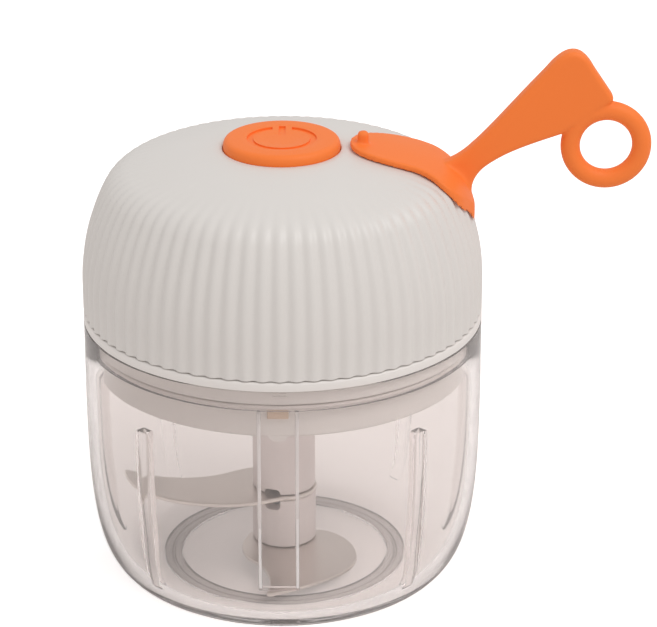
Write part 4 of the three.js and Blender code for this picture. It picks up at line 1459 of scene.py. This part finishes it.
# --------------------------------------------------------------------------- internals
@dataclass(frozen=True)
class Internals:
    """The hidden mechanism, whose CAD shapes are right and only need their finishes."""

    finishes: tuple[tuple[Finish, tuple[str, ...]], ...] = (
        (TURNED_STEEL, ("spindle_pin", "motor_shaft", "charging_port")),
        (BRONZE, ("motor_bearing",)),
        (ZINC, ("hub_bushing", "motor_can", "dome_screw_1", "dome_screw_2", "dome_screw_3", "dome_screw_4",
                "bracket_screw_1", "bracket_screw_2", "board_screw_1", "board_screw_2",
                "charging_screw")),
        (COPPER, ("motor_rotor",)),
        (FERRITE, ("magnet_1", "magnet_2")),
        (BLACK_PLASTIC, ("motor_end_cap", "tact_switch")),
        (HUB_PLASTIC, ("motor_bracket", "battery_tray", "drive_coupling", "switch_plunger")),
        (BOARD, ("main_board", "charging_board")),
        (CELL_WRAP, ("battery_cell",)),
        (RED_WIRE, ("battery_wire_red", "charge_wire_red")),
        (BLACK_WIRE, ("battery_wire_black", "charge_wire_black")),
    )

    def build(self) -> None:
        """Dress every carried-over node."""
        for finish, nodes in self.finishes:
            material = material_of(finish)
            for name in nodes:
                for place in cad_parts[name].material_slots:
                    place.material = material
            LOG.info("%s: %s", finish.name, ", ".join(nodes))


# --------------------------------------------------------------------------- studio
@dataclass(frozen=True)
class Studio:
    """Pale floor, soft light and the camera."""

    camera_place: tuple[float, float, float] = (10.45, -588.3, 308.97)
    camera_tilt: float = 67.25
    lens: float = 152.39
    floor_size: float = 8
    floor_glow: float = 0.6
    floor_glow_through: float = 0.34
    sky: tuple[float, float, float, float] = (1, 0.985, 0.975, 1)
    world_strength: float = 0.73
    key_place: tuple[float, float, float] = (0.7, -0.5, 1.3)
    key_aim: tuple[float, float, float] = (0, 0, 0.05)
    key_size: float = 0.7
    key_power: float = 6

    def camera(self) -> None:
        """A long lens in front, looking down on the chopper."""
        deselect_all()
        bpy.ops.object.camera_add(
            location=tuple(value * MM for value in self.camera_place),
            rotation=(math.radians(self.camera_tilt), 0, 0),
        )
        camera = bpy.context.object
        camera.data.lens = self.lens
        camera.data.sensor_width = 36
        camera.data.clip_start = 0.01
        camera.data.clip_end = 50
        bpy.context.scene.camera = camera

    def floor(self) -> None:
        """A wide pale floor that also glows for the camera and through clear pieces."""
        deselect_all()
        bpy.ops.mesh.primitive_plane_add(size=self.floor_size, location=(0, 0, -0.0002))
        floor = bpy.context.object
        floor.name = "studio_floor"
        paper = Moulded("studio paper", (0.82, 0.78, 0.765), 0.7, 0.8, depth=0.001, drift=0.004, wear=0)
        material = paper.build()
        tree = material.node_tree
        path = add_node(tree, "ShaderNodeLightPath", {})
        inputs = {0: path.outputs["Is Camera Ray"], 1: self.floor_glow}
        direct = add_node(tree, "ShaderNodeMath", inputs, operation="MULTIPLY")
        inputs = {0: path.outputs["Is Transmission Ray"], 1: self.floor_glow_through, 2: direct.outputs[0]}
        glow = add_node(tree, "ShaderNodeMath", inputs, operation="MULTIPLY_ADD")
        inputs = {"Emission Color": (1, 1, 1, 1), "Emission Strength": glow.outputs[0]}
        feed(tree.nodes["Principled BSDF"], inputs)
        dress(floor, material)

    def key_light(self) -> None:
        """A square soft light from the front right, aimed at the bowl."""
        deselect_all()
        turn = (Vector(self.key_aim) - Vector(self.key_place)).to_track_quat("-Z", "Y").to_euler()
        bpy.ops.object.light_add(type="AREA", location=self.key_place, rotation=turn)
        lamp = bpy.context.object.data
        lamp.shape = "SQUARE"
        lamp.size = self.key_size
        lamp.energy = self.key_power

    def lights(self) -> None:
        """Even white surroundings and the key light."""
        world = bpy.data.worlds.new("studio")
        bpy.context.scene.world = world
        world.use_nodes = True
        background = world.node_tree.nodes["Background"]
        feed(background, {"Color": self.sky, "Strength": self.world_strength})
        self.key_light()

    def build(self) -> None:
        """Set the stage."""
        self.camera()
        self.floor()
        self.lights()
        view = bpy.context.scene.view_settings
        view.view_transform = "Standard"
        view.look = "None"


def main() -> None:
    """Build the chopper round its frame."""
    logging.basicConfig(level=logging.INFO, format="%(message)s")
    Studio().build()
    Bowl().build()
    BladeHub().build()
    LidBase().build()
    dome = Dome()
    dome.build()
    Button().build()
    Strap(dome).build()
    Internals().build()
    deselect_all()


if __name__ == "__main__":
    main()
